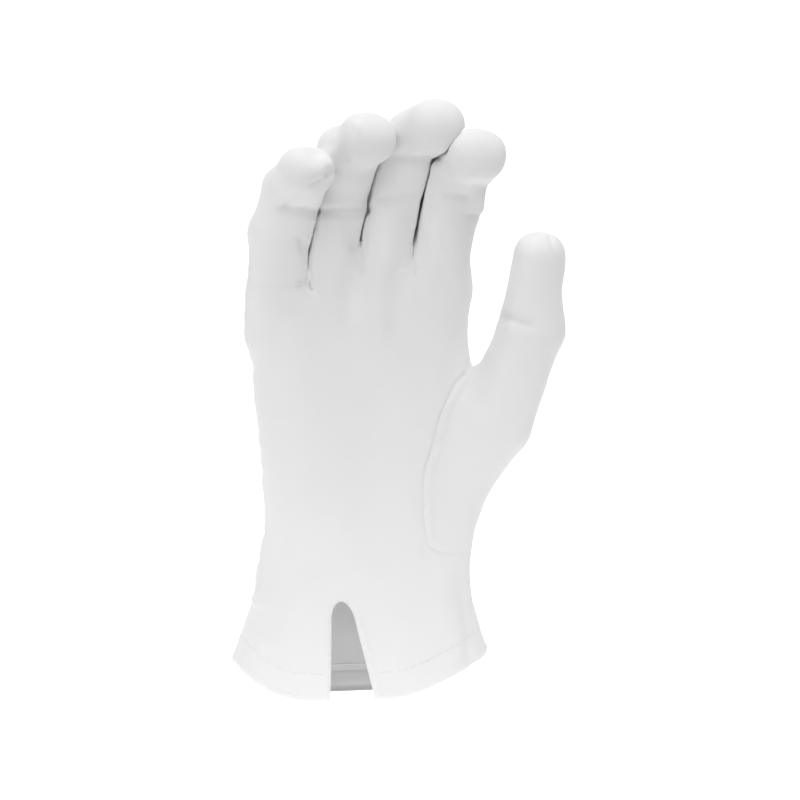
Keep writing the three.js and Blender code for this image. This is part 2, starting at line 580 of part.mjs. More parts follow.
// Makes cloth from cells of four points each, named so that cells share them. Each point is a line of
// sight, and the cloth lies depth inside the glove's outer face. Its free and sewn edges stand back by half
// a seam's gap.
function makeCloth(cells, sightOf, depth = 0) {
  const points = new Map();
  const order = [];
  const find = (key) => {
    if (!points.has(key)) {
      const surface = leave(sightOf(key));
      const normal = outward(surface);
      const rank = surface.z + surface.x / RIM_WIDTH;
      points.set(key, { index: order.length, surface, normal, rank, near: [] });
      order.push(points.get(key));
    }
    return points.get(key);
  };
  const faces = cells.map((cell) => {
    const corners = cell.map(find);
    return corners.filter((corner, i) => corner !== corners[(i + 1) % corners.length]);
  });
  const agree = faces.reduce((sum, [a, b, c]) => {
    const facing = b.surface.clone().sub(a.surface).cross(c.surface.clone().sub(a.surface));
    return sum + Math.sign(facing.dot(a.normal));
  }, 0);
  if (agree < 0) faces.forEach((face) => face.reverse());
  const edges = new Map();
  faces.forEach((face) => {
    face.forEach((a, i) => {
      const b = face[(i + 1) % face.length];
      edges.set(`${a.index},${b.index}`, [a, b]);
    });
  });
  const border = [...edges.values()].filter(([a, b]) => !edges.has(`${b.index},${a.index}`));
  border.forEach(([a, b]) => {
    const inward = a.normal.clone().cross(b.surface.clone().sub(a.surface)).normalize();
    [a, b].forEach((point) => point.near.push(inward));
  });
  order.forEach((point) => {
    if (point.near.length === 0) return;
    const [first, second] = point.near;
    const sum = first.clone().add(second);
    const reach = Math.max(1 + first.dot(second), SHARPEST);
    point.surface.addScaledVector(sum, SEAM_GAP / 2 / reach);
  });
  const outer = order.map((point) => point.surface.clone().addScaledVector(point.normal, -depth));
  const inner = order.map((point) => point.surface.clone().addScaledVector(point.normal, -depth - CLOTH));
  const positions = [...outer, ...inner].flatMap((point) => [point.x, point.y, point.z]);
  const triangles = [];
  const under = order.length;
  faces.forEach((face) => {
    const ids = face.map((point) => point.index);
    if (ids.length === 3) {
      triangles.push([ids[0], ids[1], ids[2]], [ids[2] + under, ids[1] + under, ids[0] + under]);
      return;
    }
    const across = outer[ids[0]].distanceTo(outer[ids[2]]) <= outer[ids[1]].distanceTo(outer[ids[3]]);
    const [a, b, c, d] = across ? ids : [ids[1], ids[2], ids[3], ids[0]];
    triangles.push([a, b, c], [a, c, d]);
    triangles.push([c + under, b + under, a + under], [d + under, c + under, a + under]);
  });
  // Neighbouring pieces split their facing edges along the same diagonal.
  border.forEach(([a, b]) => {
    const [c, d] = [a.index + under, b.index + under];
    if (a.rank < b.rank) triangles.push([b.index, a.index, c], [b.index, c, d]);
    else triangles.push([b.index, a.index, d], [a.index, c, d]);
  });
  const geometry = new THREE.BufferGeometry();
  geometry.setAttribute("position", new THREE.Float32BufferAttribute(positions, 3));
  geometry.setIndex(triangles.flat());
  return geometry;
}

// Cells of a grid of rows and columns. keyOf names a corner, given its row, its column and the column's
// cell that asks.
function gridCells(rows, columns, keyOf) {
  const cells = [];
  for (let row = rows[0]; row < rows[1]; row += 1) {
    for (let column = columns[0]; column < columns[1]; column += 1) {
      cells.push([
        keyOf(row, column, column),
        keyOf(row, column + 1, column),
        keyOf(row + 1, column + 1, column),
        keyOf(row + 1, column, column),
      ]);
    }
  }
  return cells;
}

// The palm panel and the back panel, from the rim to the fingertips. Their strips part at the webs, and the
// palm's at the vent.
function makePanel(face, columns) {
  const ventColumn = VENT_AT * 4 * columns;
  const keyOf = (row, column, cell) => {
    const strip = row > ROW_WEBS ? Math.floor(cell / columns) : Math.min(Math.floor(column / columns), 3);
    const split = face === PALM && row < ROW_VENT && column === ventColumn;
    const towards = cell < ventColumn ? -1 : 1;
    return `${row} ${column} ${strip} ${split ? towards : 0}`;
  };
  const sightOf = (key) => {
    const [row, column, strip, side] = key.split(" ").map(Number);
    return panelSight(row, column, columns, strip, face, side || (column < ventColumn ? -1 : 1));
  };
  return makeCloth(gridCells([0, ROW_END], [0, 4 * columns], keyOf), sightOf);
}

// A strip between two fingers, from one fingertip down through the web and up to the other.
function makeGusset(index) {
  const span = ROW_END - ROW_WEBS;
  const keyOf = (row, column) => (row === 0 || row === 2 * span ? `${row} 0` : `${row} ${column}`);
  const sightOf = (key) => {
    const [row, column] = key.split(" ").map(Number);
    const member = row < span ? 0 : 1;
    return gussetSight(index, member, ROW_WEBS + Math.abs(row - span), column / GUSSET_COLUMNS);
  };
  return makeCloth(gridCells([0, 2 * span], [0, GUSSET_COLUMNS], keyOf), sightOf);
}

function makeThumbPiece() {
  const keyOf = (row, step) => (row === THUMB_END ? `${row} 0` : `${row} ${step % SEAM_STEPS}`);
  const sightOf = (key) => thumbSight(...key.split(" ").map(Number));
  return makeCloth(gridCells([0, THUMB_END], [0, SEAM_STEPS], keyOf), sightOf);
}

// The turned-up hem runs inside the rim from one side of the vent round the back to the other.
function makeHem() {
  const palmColumns = 4 * FINGER_COLUMNS;
  const backColumns = 4 * BACK_COLUMNS;
  const vent = VENT_AT * palmColumns;
  const stations = [];
  const pass = (face, from, to, columns, towards) => {
    const step = Math.sign(to - from);
    for (let column = from; column !== to + step; column += step) {
      stations.push([face, column / columns, towards]);
    }
  };
  pass(PALM, vent + 1, palmColumns - 1, palmColumns, 1);
  pass(BACK, backColumns, 0, backColumns, 0);
  pass(PALM, 1, vent - 1, palmColumns, -1);
  const sightOf = (key) => {
    const [row, station] = key.split(" ").map(Number);
    const [face, across, towards] = stations[station];
    const s = 2 * across - 1;
    const rim = rimHeight(90 - 90 * s ** 3, face);
    return tubeSight(0, across, face, towards, rim + (row / HEM_ROWS) * HEM_HEIGHT);
  };
  const cells = gridCells([0, HEM_ROWS], [0, stations.length - 1], (row, column) => `${row} ${column}`);
  return makeCloth(cells, sightOf, CLOTH + LAYER_GAP);
}

// A narrow strip backs the edge of the vent on the inside.
function makeFacing() {
  const columns = 4 * FINGER_COLUMNS;
  const vent = VENT_AT * columns;
  const reach = (FACING_WIDTH * columns) / RIM_WIDTH;
  const places = [vent - reach, vent, vent + reach];
  const keyOf = (row, column, cell) => {
    const split = row < ROW_VENT && column === 1;
    return `${row} ${column} ${split ? (cell < 1 ? -1 : 1) : 0}`;
  };
  const sightOf = (key) => {
    const [row, column, side] = key.split(" ").map(Number);
    const height = row > ROW_VENT ? VENT_TOP + FACING_WIDTH : null;
    return tubeSight(Math.min(row, ROW_VENT), places[column] / columns, PALM, side || column - 1, height);
  };
  return makeCloth(gridCells([0, ROW_VENT + 1], [0, 2], keyOf), sightOf, CLOTH + LAYER_GAP);
}

const glove = new THREE.Group();
function add(name, geometry) {
  const cotton = new THREE.MeshStandardMaterial({ color: 0xf1f1ef, roughness: 0.9, metalness: 0 });
  const mesh = new THREE.Mesh(geometry, cotton);
  mesh.name = name;
  glove.add(mesh);
}

add("palm_panel", makePanel(PALM, FINGER_COLUMNS));
add("back_panel", makePanel(BACK, BACK_COLUMNS));
add("gusset_index_middle", makeGusset(0));
add("gusset_middle_ring", makeGusset(1));
add("gusset_ring_little", makeGusset(2));
add("thumb_piece", makeThumbPiece());
add("cuff_hem", makeHem());
add("vent_facing", makeFacing());

export default glove;
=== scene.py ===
"""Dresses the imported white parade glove: sewn cotton with its seams, folds and stitches, on a pale stage.

Millimetres are used for the form, which repeats the sizes of the part, and metres for the objects.
"""

import json
import math

import bpy
import numpy as np
from bpy.props import FloatProperty, FloatVectorProperty, PointerProperty
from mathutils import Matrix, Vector
from mathutils.kdtree import KDTree

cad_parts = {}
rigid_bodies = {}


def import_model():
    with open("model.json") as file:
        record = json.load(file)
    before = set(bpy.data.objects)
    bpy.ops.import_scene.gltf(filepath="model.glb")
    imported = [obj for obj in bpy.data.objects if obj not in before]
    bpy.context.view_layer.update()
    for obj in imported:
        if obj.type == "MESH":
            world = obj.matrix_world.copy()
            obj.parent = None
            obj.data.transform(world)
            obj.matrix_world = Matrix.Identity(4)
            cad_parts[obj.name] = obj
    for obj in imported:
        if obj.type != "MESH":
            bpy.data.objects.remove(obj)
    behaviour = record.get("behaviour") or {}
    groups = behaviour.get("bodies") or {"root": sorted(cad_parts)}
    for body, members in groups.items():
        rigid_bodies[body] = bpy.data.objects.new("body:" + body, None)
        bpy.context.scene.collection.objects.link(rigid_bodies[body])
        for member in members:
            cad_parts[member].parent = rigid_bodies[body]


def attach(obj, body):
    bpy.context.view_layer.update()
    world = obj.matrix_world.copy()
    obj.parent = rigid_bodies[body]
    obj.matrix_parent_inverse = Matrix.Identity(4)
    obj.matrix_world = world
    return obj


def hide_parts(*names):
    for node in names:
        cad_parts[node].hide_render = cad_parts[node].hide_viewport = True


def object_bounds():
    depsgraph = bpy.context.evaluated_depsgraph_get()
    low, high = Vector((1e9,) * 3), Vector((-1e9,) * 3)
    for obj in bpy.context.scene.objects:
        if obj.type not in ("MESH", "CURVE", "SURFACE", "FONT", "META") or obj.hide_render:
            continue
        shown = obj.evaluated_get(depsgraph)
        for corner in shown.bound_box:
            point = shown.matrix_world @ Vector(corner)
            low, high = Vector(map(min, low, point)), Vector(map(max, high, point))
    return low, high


bl_info = {
    "name": "Parade glove",
    "version": (1, 0, 0),
    "blender": (4, 5, 0),
    "location": "View3D > Sidebar > Glove",
    "description": "Builds a sewn white cotton glove around its packed frame",
    "category": "Object",
}

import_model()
cad_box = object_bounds()

MM = 0.001

# Sizes of the part, in millimetres.
CLOTH = 1.0
RIM = (105.0, 58.0)
WRIST = (83.0, 47.0)
PALM = (89.0, 32.0)
CUFF_HEIGHT = 58.0
HAND_HEIGHT = 105.0
HEM_RISE = (8.0, 10.3)
HEM_DROP = {-1: 4.2, 1: 10.0}
HEM_HEIGHT = 11.0
SQUARENESS = 2.3
FINGER_GAPS = (0.45, 0.3, 0.3)
CROWN_ROUNDING = 9.0
FINGER_BLEND = 8.0
THUMB_BLEND = 15.0
WEB_BLEND = 5.0
WEB_FADE = 8.0
JOINT_BLEND = 3.0
THUMB_TIP_THICK = 20.4
THUMB_FREE = 0.655
THUMB_ROOT = (0.335, 1.03, 0.12)
SEAM_LEFT = (0.79, 1.64)
WEB_FORWARD = 0.22
VENT_TOP = 34.5
VENT_WIDTH = (18.0, 7.5)
VENT_ACROSS = (-9.0, -12.9)
VENT_ROUND = 0.17
DENT = 2.0


def table(columns, *rows):
    """A table of numbers as a dictionary of its named columns."""
    return {name: np.array(values) for name, values in zip(columns.split(), zip(*rows))}


TUBE = table(
    "up wide deep shift",
    (-0.25, 1.04, 1.04, 0.0),
    (0.1, 0.99, 0.99, 0.0),
    (0.35, 0.62, 0.72, 0.002),
    (0.65, 0.2, 0.3, 0.016),
    (1.0, 0.0, 0.0, 0.03),
    (1.25, 0.1, 0.2, 0.022),
    (1.5, 0.5, 0.66, 0.002),
    (1.75, 0.9, 1.0, -0.004),
    (1.9, 0.98, 1.3, -0.002),
    (2.0, 1.0, 1.5, -0.002),
    (2.4, 1.0, 1.6, -0.002),
)
FINGERS = table(
    "across knuckle forward web length thick wide lean toe low middle high",
    (0.302, 1.87, 0.03, 2.055, 94, 21, 26.5, 7.5, 2, 12, 47, 78),
    (0.055, 1.87, 0.0, 2.06, 102, 21.5, 26.5, 8.5, 8, 10, 32, 74),
    (-0.185, 1.85, 0.03, 1.98, 95, 20, 26.5, 2.5, 13, 10, 28, 72),
    (-0.382, 1.78, 0.05, 1.98, 89, 20, 25, -3, 12, 12, 40, 64),
)
JOINTS = table(
    "along thick wide",
    (0.0, 0.92, 0.94),
    (0.51, 1.0, 1.0),
    (0.81, 0.97, 0.94),
    (1.0, 1.0, 0.88),
)
THUMB_BONES = table(
    "spread forward length thick",
    (30, 10, 48.5, 17),
    (16, 12, 41, 25.4),
    (4.5, 10, 29, 25),
)
THUMB_SEAM = table(
    "step up palm back turn lift",
    (0, 0.85, 0.27, 0.27, 0, 0),
    (1, 0.9, 0.18, 0.1, 85, 0),
    (2, 0.96, 0.234, 0.13, 90, 0),
    (3, 1.13, 0.26, 0.15, 90, 0),
    (4, 1.25, 0.245, 0.14, 90, 0),
    (5, 1.36, 0.195, 0.12, 90, 0),
    (6, 1.475, 0.15, 0.09, 88, 2),
    (7, 1.555, 0.12, 0.07, 60, 22),
    (8, 1.553, 0.055, 0.055, 0, 66),
)
DENTS = table(
    "face across up wide tall deep",
    (-1, -0.02, 1.5, 0.2, 0.3, 1.0),
    (-1, -0.28, 1.3, 0.16, 0.3, -0.9),
    (-1, -0.1, 1.86, 0.3, 0.06, -0.5),
    (-1, 0.42, 0.62, 0.06, 0.2, 0.9),
    (-1, -0.4, 0.7, 0.07, 0.2, 0.7),
    (1, 0.0, 1.78, 0.4, 0.08, -0.5),
    (1, 0.0, 1.02, 0.3, 0.12, 0.8),
)
THUMB_DENTS = table("side along wide deep", (1, 0.9, 0.34, 0.8), (1, 0.75, 0.24, -0.5), (-1, 0.75, 0.22, 0.8))

# Rows of the surfaces, from the rim upwards, and columns across each finger.
ROW_VENT = 6
ROW_WRIST = 9
SEAM_ROWS = 11
ROW_KNUCKLES = 20
ROW_WEBS = 25
ROW_TIPS = 33
ROW_END = 36
TIP_ROWS = 3
THUMB_BASE_ROWS = 7
THUMB_ROWS = 5
THUMB_END = 15
SEAM_STEPS = 22
COLUMNS = 5
WEB_DEPTH = 4.0
WEB_CLEAR = 10.0
WEB_SPREAD = 4.0
ROOT_RISE = 3.0
ROOT_SPREAD = 8.0
GUSSET_EDGE = 65.0
TIP_EDGE = 40.0
VENT_AT = 0.4
VENT_EASE = 1.6
VENT_SETTLE = 60.0
RIM_CURVE = {-1: (3.6, 1.05), 1: (2.0, 2.0)}
LIFT_ROWS = 2
PALM_FACE = -1
BACK_FACE = 1

# The view that the folds are drawn in: turned towards the little finger and raised, in degrees.
FOLD_TURN = -12.0
FOLD_RAISE = 5.0


def small_length(name, about, default, low, high):
    """A length of a millimetre or so, kept in metres."""
    return FloatProperty(
        name=name, description=about, default=default, min=low, max=high, unit="LENGTH", precision=5
    )


class GloveCloth(bpy.types.PropertyGroup):
    colour: FloatVectorProperty(
        name="Cotton", description="Colour of the bleached cotton", subtype="COLOR", size=3, min=0.0, max=1.0,
        default=(0.82, 0.82, 0.825),
    )
    knit: small_length("Knit pitch", "Distance between ribs of the knit", 0.00055, 0.0002, 0.002)
    knit_depth: small_length("Knit depth", "Depth of the knit's ribs", 0.00002, 0.0, 0.0005)
    # The inside share paints the wrong side darker: painted shade for the glove's inside, with a little of
    # the wrong side's duller face.
    inside: FloatProperty(
        name="Inside painted shade", description="Lightness of the wrong side as a share of the right side's",
        default=0.8, min=0.1, max=1.0,
    )
    crumple: small_length("Crumple", "Height of the soft waves of the worn cloth", 0.0005, 0.0, 0.002)


class GloveSeams(bpy.types.PropertyGroup):
    sink: small_length("Seam sink", "How far the sewn edges turn in", 0.0008, 0.0, 0.003)
    reach: small_length("Seam roll", "Width over which a sewn edge turns in", 0.0009, 0.0002, 0.005)
    pucker: small_length("Pucker", "Height of the small gathers along the seams", 0.00035, 0.0, 0.002)
    stitch: small_length("Stitch length", "Length of a hem stitch", 0.0024, 0.001, 0.006)
    thread: small_length("Thread", "Thickness of the sewing thread", 0.00045, 0.0002, 0.001)


class GloveStage(bpy.types.PropertyGroup):
    floor_drop: FloatProperty(
        name="Floor drop", description="Height of the held glove over the floor",
        default=0.03, min=0.0, max=0.5, unit="LENGTH",
    )
    key: FloatProperty(
        name="Key light", description="Strength of the large soft light", default=12.2, min=0.0, unit="POWER"
    )
    fill: FloatProperty(name="Surround", description="Strength of the white surround", default=0.34, min=0.0)


class GloveSettings(bpy.types.PropertyGroup):
    cloth: PointerProperty(type=GloveCloth)
    seams: PointerProperty(type=GloveSeams)
    stage: PointerProperty(type=GloveStage)


# ---- The form ----


def lerp(a, b, t):
    return a + (b - a) * t


def ease(t):
    t = np.clip(t, 0.0, 1.0)
    return t * t * (3.0 - 2.0 * t)


def height_at(up):
    up = np.asarray(up, float)
    return np.where(up < 1.0, up * CUFF_HEIGHT, CUFF_HEIGHT + (up - 1.0) * HAND_HEIGHT)


def up_at(z):
    return np.where(z < CUFF_HEIGHT, z / CUFF_HEIGHT, 1.0 + (z - CUFF_HEIGHT) / HAND_HEIGHT)


def read_table(rows, key, value, column):
    """Smooth reading of one column of a table at values of another."""
    k, v = rows[key], rows[column]
    last = len(k) - 1
    i = np.clip(np.searchsorted(k, value, side="right") - 1, 0, last - 1)
    before, after = np.maximum(i - 1, 0), np.minimum(i + 2, last)
    step = k[i + 1] - k[i]
    t = np.clip((value - k[i]) / step, 0.0, 1.0)
    slope_a = (v[i + 1] - v[before]) / (k[i + 1] - k[before]) * step
    slope_b = (v[after] - v[i]) / (k[after] - k[i]) * step
    t2, t3 = t * t, t * t * t
    near = (2 * t3 - 3 * t2 + 1) * v[i] + (t3 - 2 * t2 + t) * slope_a
    return near + (3 * t2 - 2 * t3) * v[i + 1] + (t3 - t2) * slope_b


def blend(a, b, size):
    h = np.maximum(size - np.abs(a - b), 0.0) / size
    return np.minimum(a, b) - h * h * size / 4.0


def section(z):
    up = up_at(z)
    low = up < 1.0
    wide, deep = read_table(TUBE, "up", up, "wide"), read_table(TUBE, "up", up, "deep")
    a = lerp(WRIST[0], np.where(low, RIM[0], PALM[0]), wide) / 2.0
    b = lerp(WRIST[1], np.where(low, RIM[1], PALM[1]), deep) / 2.0
    return a, b, PALM[0] * read_table(TUBE, "up", up, "shift")


def oval_distance(x, y, a, b):
    u, v = np.abs(x) / a, np.abs(y) / b
    r = np.maximum((u**SQUARENESS + v**SQUARENESS) ** (1.0 / SQUARENESS), 1e-6)
    slope = np.hypot((u / r) ** (SQUARENESS - 1.0) / a, (v / r) ** (SQUARENESS - 1.0) / b)
    return (r - 1.0) / np.maximum(slope, 1e-3)


def unit(v):
    return v / np.maximum(np.linalg.norm(v, axis=-1, keepdims=True), 1e-9)


def turned(lean, toe, v):
    """A direction turned by a finger's toe about Z, then its lean about Y."""
    c, s = math.cos(toe), math.sin(toe)
    x, y, z = c * v[0] - s * v[1], s * v[0] + c * v[1], v[2]
    c, s = math.cos(lean), math.sin(lean)
    return np.array((c * x + s * z, y, -s * x + c * z))


def make_chain(start, directions, lengths, thicks, wides, side):
    points = [np.array(start, float)]
    for direction, length in zip(directions, lengths):
        points.append(points[-1] + direction * length)
    return {
        "points": np.array(points), "directions": np.array(directions), "lengths": np.array(lengths),
        "thicks": np.array(thicks), "wides": np.array(wides), "side": side,
    }


def make_finger(i):
    f = {name: float(values[i]) for name, values in FINGERS.items()}
    lean, toe = math.radians(f["lean"]), math.radians(f["toe"])
    reach = f["length"] - f["thick"] / 2.0
    bends = [math.radians(f[name]) for name in ("low", "middle", "high")]
    directions = [turned(lean, toe, (0.0, -math.sin(b), math.cos(b))) for b in bends]
    start = (f["across"] * PALM[0], -f["forward"] * PALM[1], float(height_at(f["knuckle"])))
    lengths = np.diff(JOINTS["along"]) * reach
    thicks, wides = JOINTS["thick"] * f["thick"] / 2.0, JOINTS["wide"] * f["wide"] / 2.0
    return make_chain(start, directions, lengths, thicks, wides, turned(lean, toe, (1.0, 0.0, 0.0)))


def make_thumb():
    across, up, forward = THUMB_ROOT
    spread, tip = np.radians(THUMB_BONES["spread"]), np.radians(THUMB_BONES["forward"])
    directions = np.stack([np.cos(tip) * np.sin(spread), -np.sin(tip), np.cos(tip) * np.cos(spread)], -1)
    thicks = np.append(THUMB_BONES["thick"], THUMB_TIP_THICK) / 2.0
    start = (across * PALM[0], -forward * PALM[1], float(height_at(up)))
    side = np.array((1.0, 0.0, 0.0))
    return make_chain(start, list(directions), list(THUMB_BONES["length"]), thicks, thicks, side)


fingers = [make_finger(i) for i in range(4)]
thumb = make_thumb()
web_x = np.array([(fingers[i]["points"][0][0] + fingers[i + 1]["points"][0][0]) / 2.0 for i in range(3)])
web_z = height_at(FINGERS["web"][:3])


def chain_distance(p, chain):
    nearest = np.full(len(p), 1e3)
    for i, direction in enumerate(chain["directions"]):
        length = chain["lengths"][i]
        offset = p - chain["points"][i]
        along = np.clip(offset @ direction, 0.0, length)
        offset = offset - along[:, None] * direction
        across = offset @ chain["side"]
        deep = np.sqrt(np.maximum((offset * offset).sum(1) - across * across, 0.0))
        wide = lerp(chain["wides"][i], chain["wides"][i + 1], along / length)
        thick = lerp(chain["thicks"][i], chain["thicks"][i + 1], along / length)
        nearest = blend(nearest, oval_distance(across, deep, wide, thick), JOINT_BLEND)
    return nearest


def chain_at(chain, along):
    """Points along a chain of bones, with the chain's direction, side and front there."""
    along = np.asarray(along, float)
    starts = np.concatenate([[0.0], np.cumsum(chain["lengths"])[:-1]])
    bone = np.clip(np.searchsorted(starts, along, side="right") - 1, 0, len(starts) - 1)
    point = chain["points"][bone] + chain["directions"][bone] * (along - starts[bone])[..., None]
    middles = starts + chain["lengths"] / 2.0
    middles[-1] += chain["lengths"][-1] / 2.0
    direction = np.stack([np.interp(along, middles, chain["directions"][:, axis]) for axis in range(3)], -1)
    direction = unit(direction)
    side = unit(chain["side"] - direction * (direction @ chain["side"])[..., None])
    return point, direction, side, np.cross(side, direction)


def crown_height(x):
    return np.interp(x, web_x[::-1], web_z[::-1])


thumb_reach = float(thumb["lengths"].sum())
dent_points, _, dent_sides, _ = chain_at(thumb, THUMB_DENTS["along"] * thumb_reach)
dent_points = dent_points + dent_sides * (THUMB_DENTS["side"] * THUMB_TIP_THICK / 2.0)[:, None]


def dent_at(p):
    total = np.zeros(len(p))
    across, up = p[:, 0] / PALM[0], up_at(p[:, 2])
    for i, face in enumerate(DENTS["face"]):
        side = np.clip(face * p[:, 1] / DENT / 2.0, 0.0, 1.0)
        x, y = (across - DENTS["across"][i]) / DENTS["wide"][i], (up - DENTS["up"][i]) / DENTS["tall"][i]
        total += DENT * DENTS["deep"][i] * side * np.exp(-(x**2 + y**2))
    return total


def tube_distance(p):
    a, b, x = section(p[:, 2])
    wall = oval_distance(p[:, 0] - x, p[:, 1], a, b) + dent_at(p)
    return -blend(-wall, crown_height(p[:, 0]) - p[:, 2], CROWN_ROUNDING)


def glove_distance(p):
    """Distance to the glove's outer face, less than nothing inside it."""
    palm = tube_distance(p)
    apart = [chain_distance(p, finger) for finger in fingers]
    dent = np.zeros(len(p))
    for point, wide, deep in zip(dent_points, THUMB_DENTS["wide"] * THUMB_TIP_THICK, THUMB_DENTS["deep"]):
        dent += DENT * deep * np.exp(-((p - point) ** 2).sum(1) / wide**2)
    nearest = blend(palm, chain_distance(p, thumb) + dent, THUMB_BLEND)
    together = np.full(len(p), 1e3)
    soft = lerp(0.01, WEB_BLEND, np.clip((crown_height(p[:, 0]) - p[:, 2]) / WEB_FADE - 0.5, 0.0, 1.0))
    for i, distance in enumerate(apart):
        parted = distance
        for other, gap in ((i - 1, i - 1), (i + 1, i)):
            if 0 <= other <= 3:
                parted = np.maximum(parted, (distance - apart[other] + FINGER_GAPS[gap]) / 2.0)
        together = blend(together, parted, soft)
    return np.minimum(nearest, blend(palm, together, FINGER_BLEND))


def outward(p, h=0.05):
    slopes = []
    for axis in range(3):
        step = np.zeros(3)
        step[axis] = h
        slopes.append(glove_distance(p + step) - glove_distance(p - step))
    return unit(np.stack(slopes, -1))


STEP = 0.15
LONGEST_STEP = 2.5
REACH = 90.0
HALVINGS = 18


def leave(sights):
    """The points where lines from inside the glove leave it."""
    start, to = sights
    count = len(start)
    t, was, inside = np.zeros(count), np.zeros(count), np.zeros(count, bool)
    active = np.arange(count)
    low, high = np.zeros(count), np.zeros(count)
    while len(active):
        d = glove_distance(start[active] + to[active] * t[active, None])
        out = inside[active] & (d > 0.0)
        late = t[active] > REACH
        done = active[out | late]
        low[done], high[done] = was[done], t[done]
        keep = ~(out | late)
        inside[active] |= d <= 0.0
        active, d = active[keep], d[keep]
        was[active] = t[active]
        t[active] += np.where(inside[active], np.clip(-0.5 * d, STEP, LONGEST_STEP), STEP)
    for _ in range(HALVINGS):
        middle = (low + high) / 2.0
        within = glove_distance(start + to * middle[:, None]) <= 0.0
        low, high = np.where(within, middle, low), np.where(within, high, middle)
    return start + to * low[:, None]


def settle(p, rounds=4):
    """Moves points near the glove's outer face onto it."""
    for _ in range(rounds):
        p = p - outward(p) * glove_distance(p)[:, None]
    return p


# ---- Lines of sight, as in the part ----


def between(s, t, share):
    share = np.asarray(share)[:, None]
    return lerp(s[0], t[0], share), unit(lerp(s[1], t[1], share))


def seam_read(row, column):
    share = np.clip((row - ROW_WRIST) / SEAM_ROWS, 0.0, 1.0)
    return read_table(THUMB_SEAM, "step", share * (len(THUMB_SEAM["up"]) - 1), column)


def rim_height(turn, face):
    """Height of the rim in a direction round the tube, in radians from the thumb's side."""
    side = np.cos(turn)
    rise = np.where(side > 0, HEM_RISE[1], HEM_RISE[0])
    curve = np.where(side > 0, RIM_CURVE[face][1], RIM_CURVE[face][0])
    return lerp(-HEM_DROP[face], rise, np.abs(side) ** curve)


def vent_edge(z, towards):
    share = np.clip((VENT_TOP - z) / (VENT_TOP + HEM_DROP[PALM_FACE]), 0.0, 1.0)
    round_off = np.sqrt(1.0 - (1.0 - np.minimum(share / VENT_ROUND, 1.0)) ** 2)
    half = lerp(VENT_WIDTH[1], VENT_WIDTH[0], share) / 2.0 * round_off
    return lerp(VENT_ACROSS[1], VENT_ACROSS[0], share) + towards * half


def row_height(row, across, turn, face):
    wrist = lerp(height_at(SEAM_LEFT[0]), height_at(THUMB_SEAM["up"][0]), across)
    knuckles = lerp(height_at(SEAM_LEFT[1]), height_at(THUMB_SEAM["up"][-1]), across)
    vent = lerp(VENT_TOP, rim_height(turn, face), np.clip(1.0 - row / ROW_VENT, 0.0, None) ** VENT_EASE)
    low = lerp(VENT_TOP, wrist, (row - ROW_VENT) / (ROW_WRIST - ROW_VENT))
    left = lerp(height_at(SEAM_LEFT[0]), height_at(SEAM_LEFT[1]), (row - ROW_WRIST) / SEAM_ROWS)
    palm = lerp(left, height_at(seam_read(row, "up")), across)
    crown = crown_height((across - 0.5) * PALM[0]) - WEB_DEPTH - ROOT_SPREAD
    top = lerp(knuckles, crown, (row - ROW_KNUCKLES) / (ROW_WEBS - ROW_KNUCKLES))
    return np.select([row <= ROW_VENT, row <= ROW_WRIST, row <= ROW_KNUCKLES], [vent, low, palm], top)


def tube_sight(row, across, face, towards=None, height=None):
    row, across = np.broadcast_arrays(np.asarray(row, float), np.asarray(across, float))
    towards = np.zeros(len(across)) if towards is None else towards
    s = 2.0 * across - 1.0
    above = (row > ROW_WRIST) & (height is None)
    turn_end = np.where(above, seam_read(row, "turn"), 0.0)
    turn = np.radians(90.0 - np.where(s < 0.0, 90.0, 90.0 - turn_end) * s**3)
    z = row_height(row, across, turn, face) if height is None else height
    a, b, shift = section(z)
    inset = np.where(above, seam_read(row, "palm" if face == PALM_FACE else "back") * PALM[0], b)
    fade = 1.0 - np.clip((row - ROW_KNUCKLES) / LIFT_ROWS, 0.0, 1.0)
    lift = np.where(above, np.radians(seam_read(row, "lift")) * np.maximum(s, 0.0) ** 3 * fade, 0.0)
    left, right = shift - a + b, shift + a - inset
    x = lerp(left, right, across)
    if face == PALM_FACE:
        even = lerp(left, right, VENT_AT)
        top = lerp(VENT_ACROSS[1], even, ease((z - VENT_TOP) / VENT_SETTLE))
        vent = np.where(z < VENT_TOP, vent_edge(z, towards), top)
        low = (across < VENT_AT) | ((across == VENT_AT) & (towards < 0))
        far = lerp(vent, right, (across - VENT_AT) / (1.0 - VENT_AT))
        x = np.where(low, lerp(left, vent, across / VENT_AT), far)
    y = -WEB_FORWARD * PALM[1] * np.sin(lift)
    to = np.stack([np.cos(turn) * np.cos(lift), face * np.sin(turn) * np.cos(lift), np.sin(lift)], -1)
    return np.stack([x, y, z], -1), unit(to)


def ring_sight(chain, along, turn):
    point, _, side, front = chain_at(chain, along)
    turn = np.radians(turn)[..., None]
    return point, unit(front * np.cos(turn) + side * np.sin(turn))


def finger_along(index, row):
    finger = fingers[index]
    web = max(web_z[max(index - 1, 0) : index + 1])
    rise = math.cos(math.radians(FINGERS["low"][index]))
    foot = finger["points"][0][2]
    low, high = (web - WEB_DEPTH - foot) / rise, (web + WEB_CLEAR - foot) / rise
    share = np.clip((row - ROW_WEBS - 1) / (ROW_TIPS - ROW_WEBS - 1), 0.0, 1.0)
    return np.where(row <= ROW_WEBS, low + ROOT_RISE, lerp(high, finger["lengths"].sum(), share))


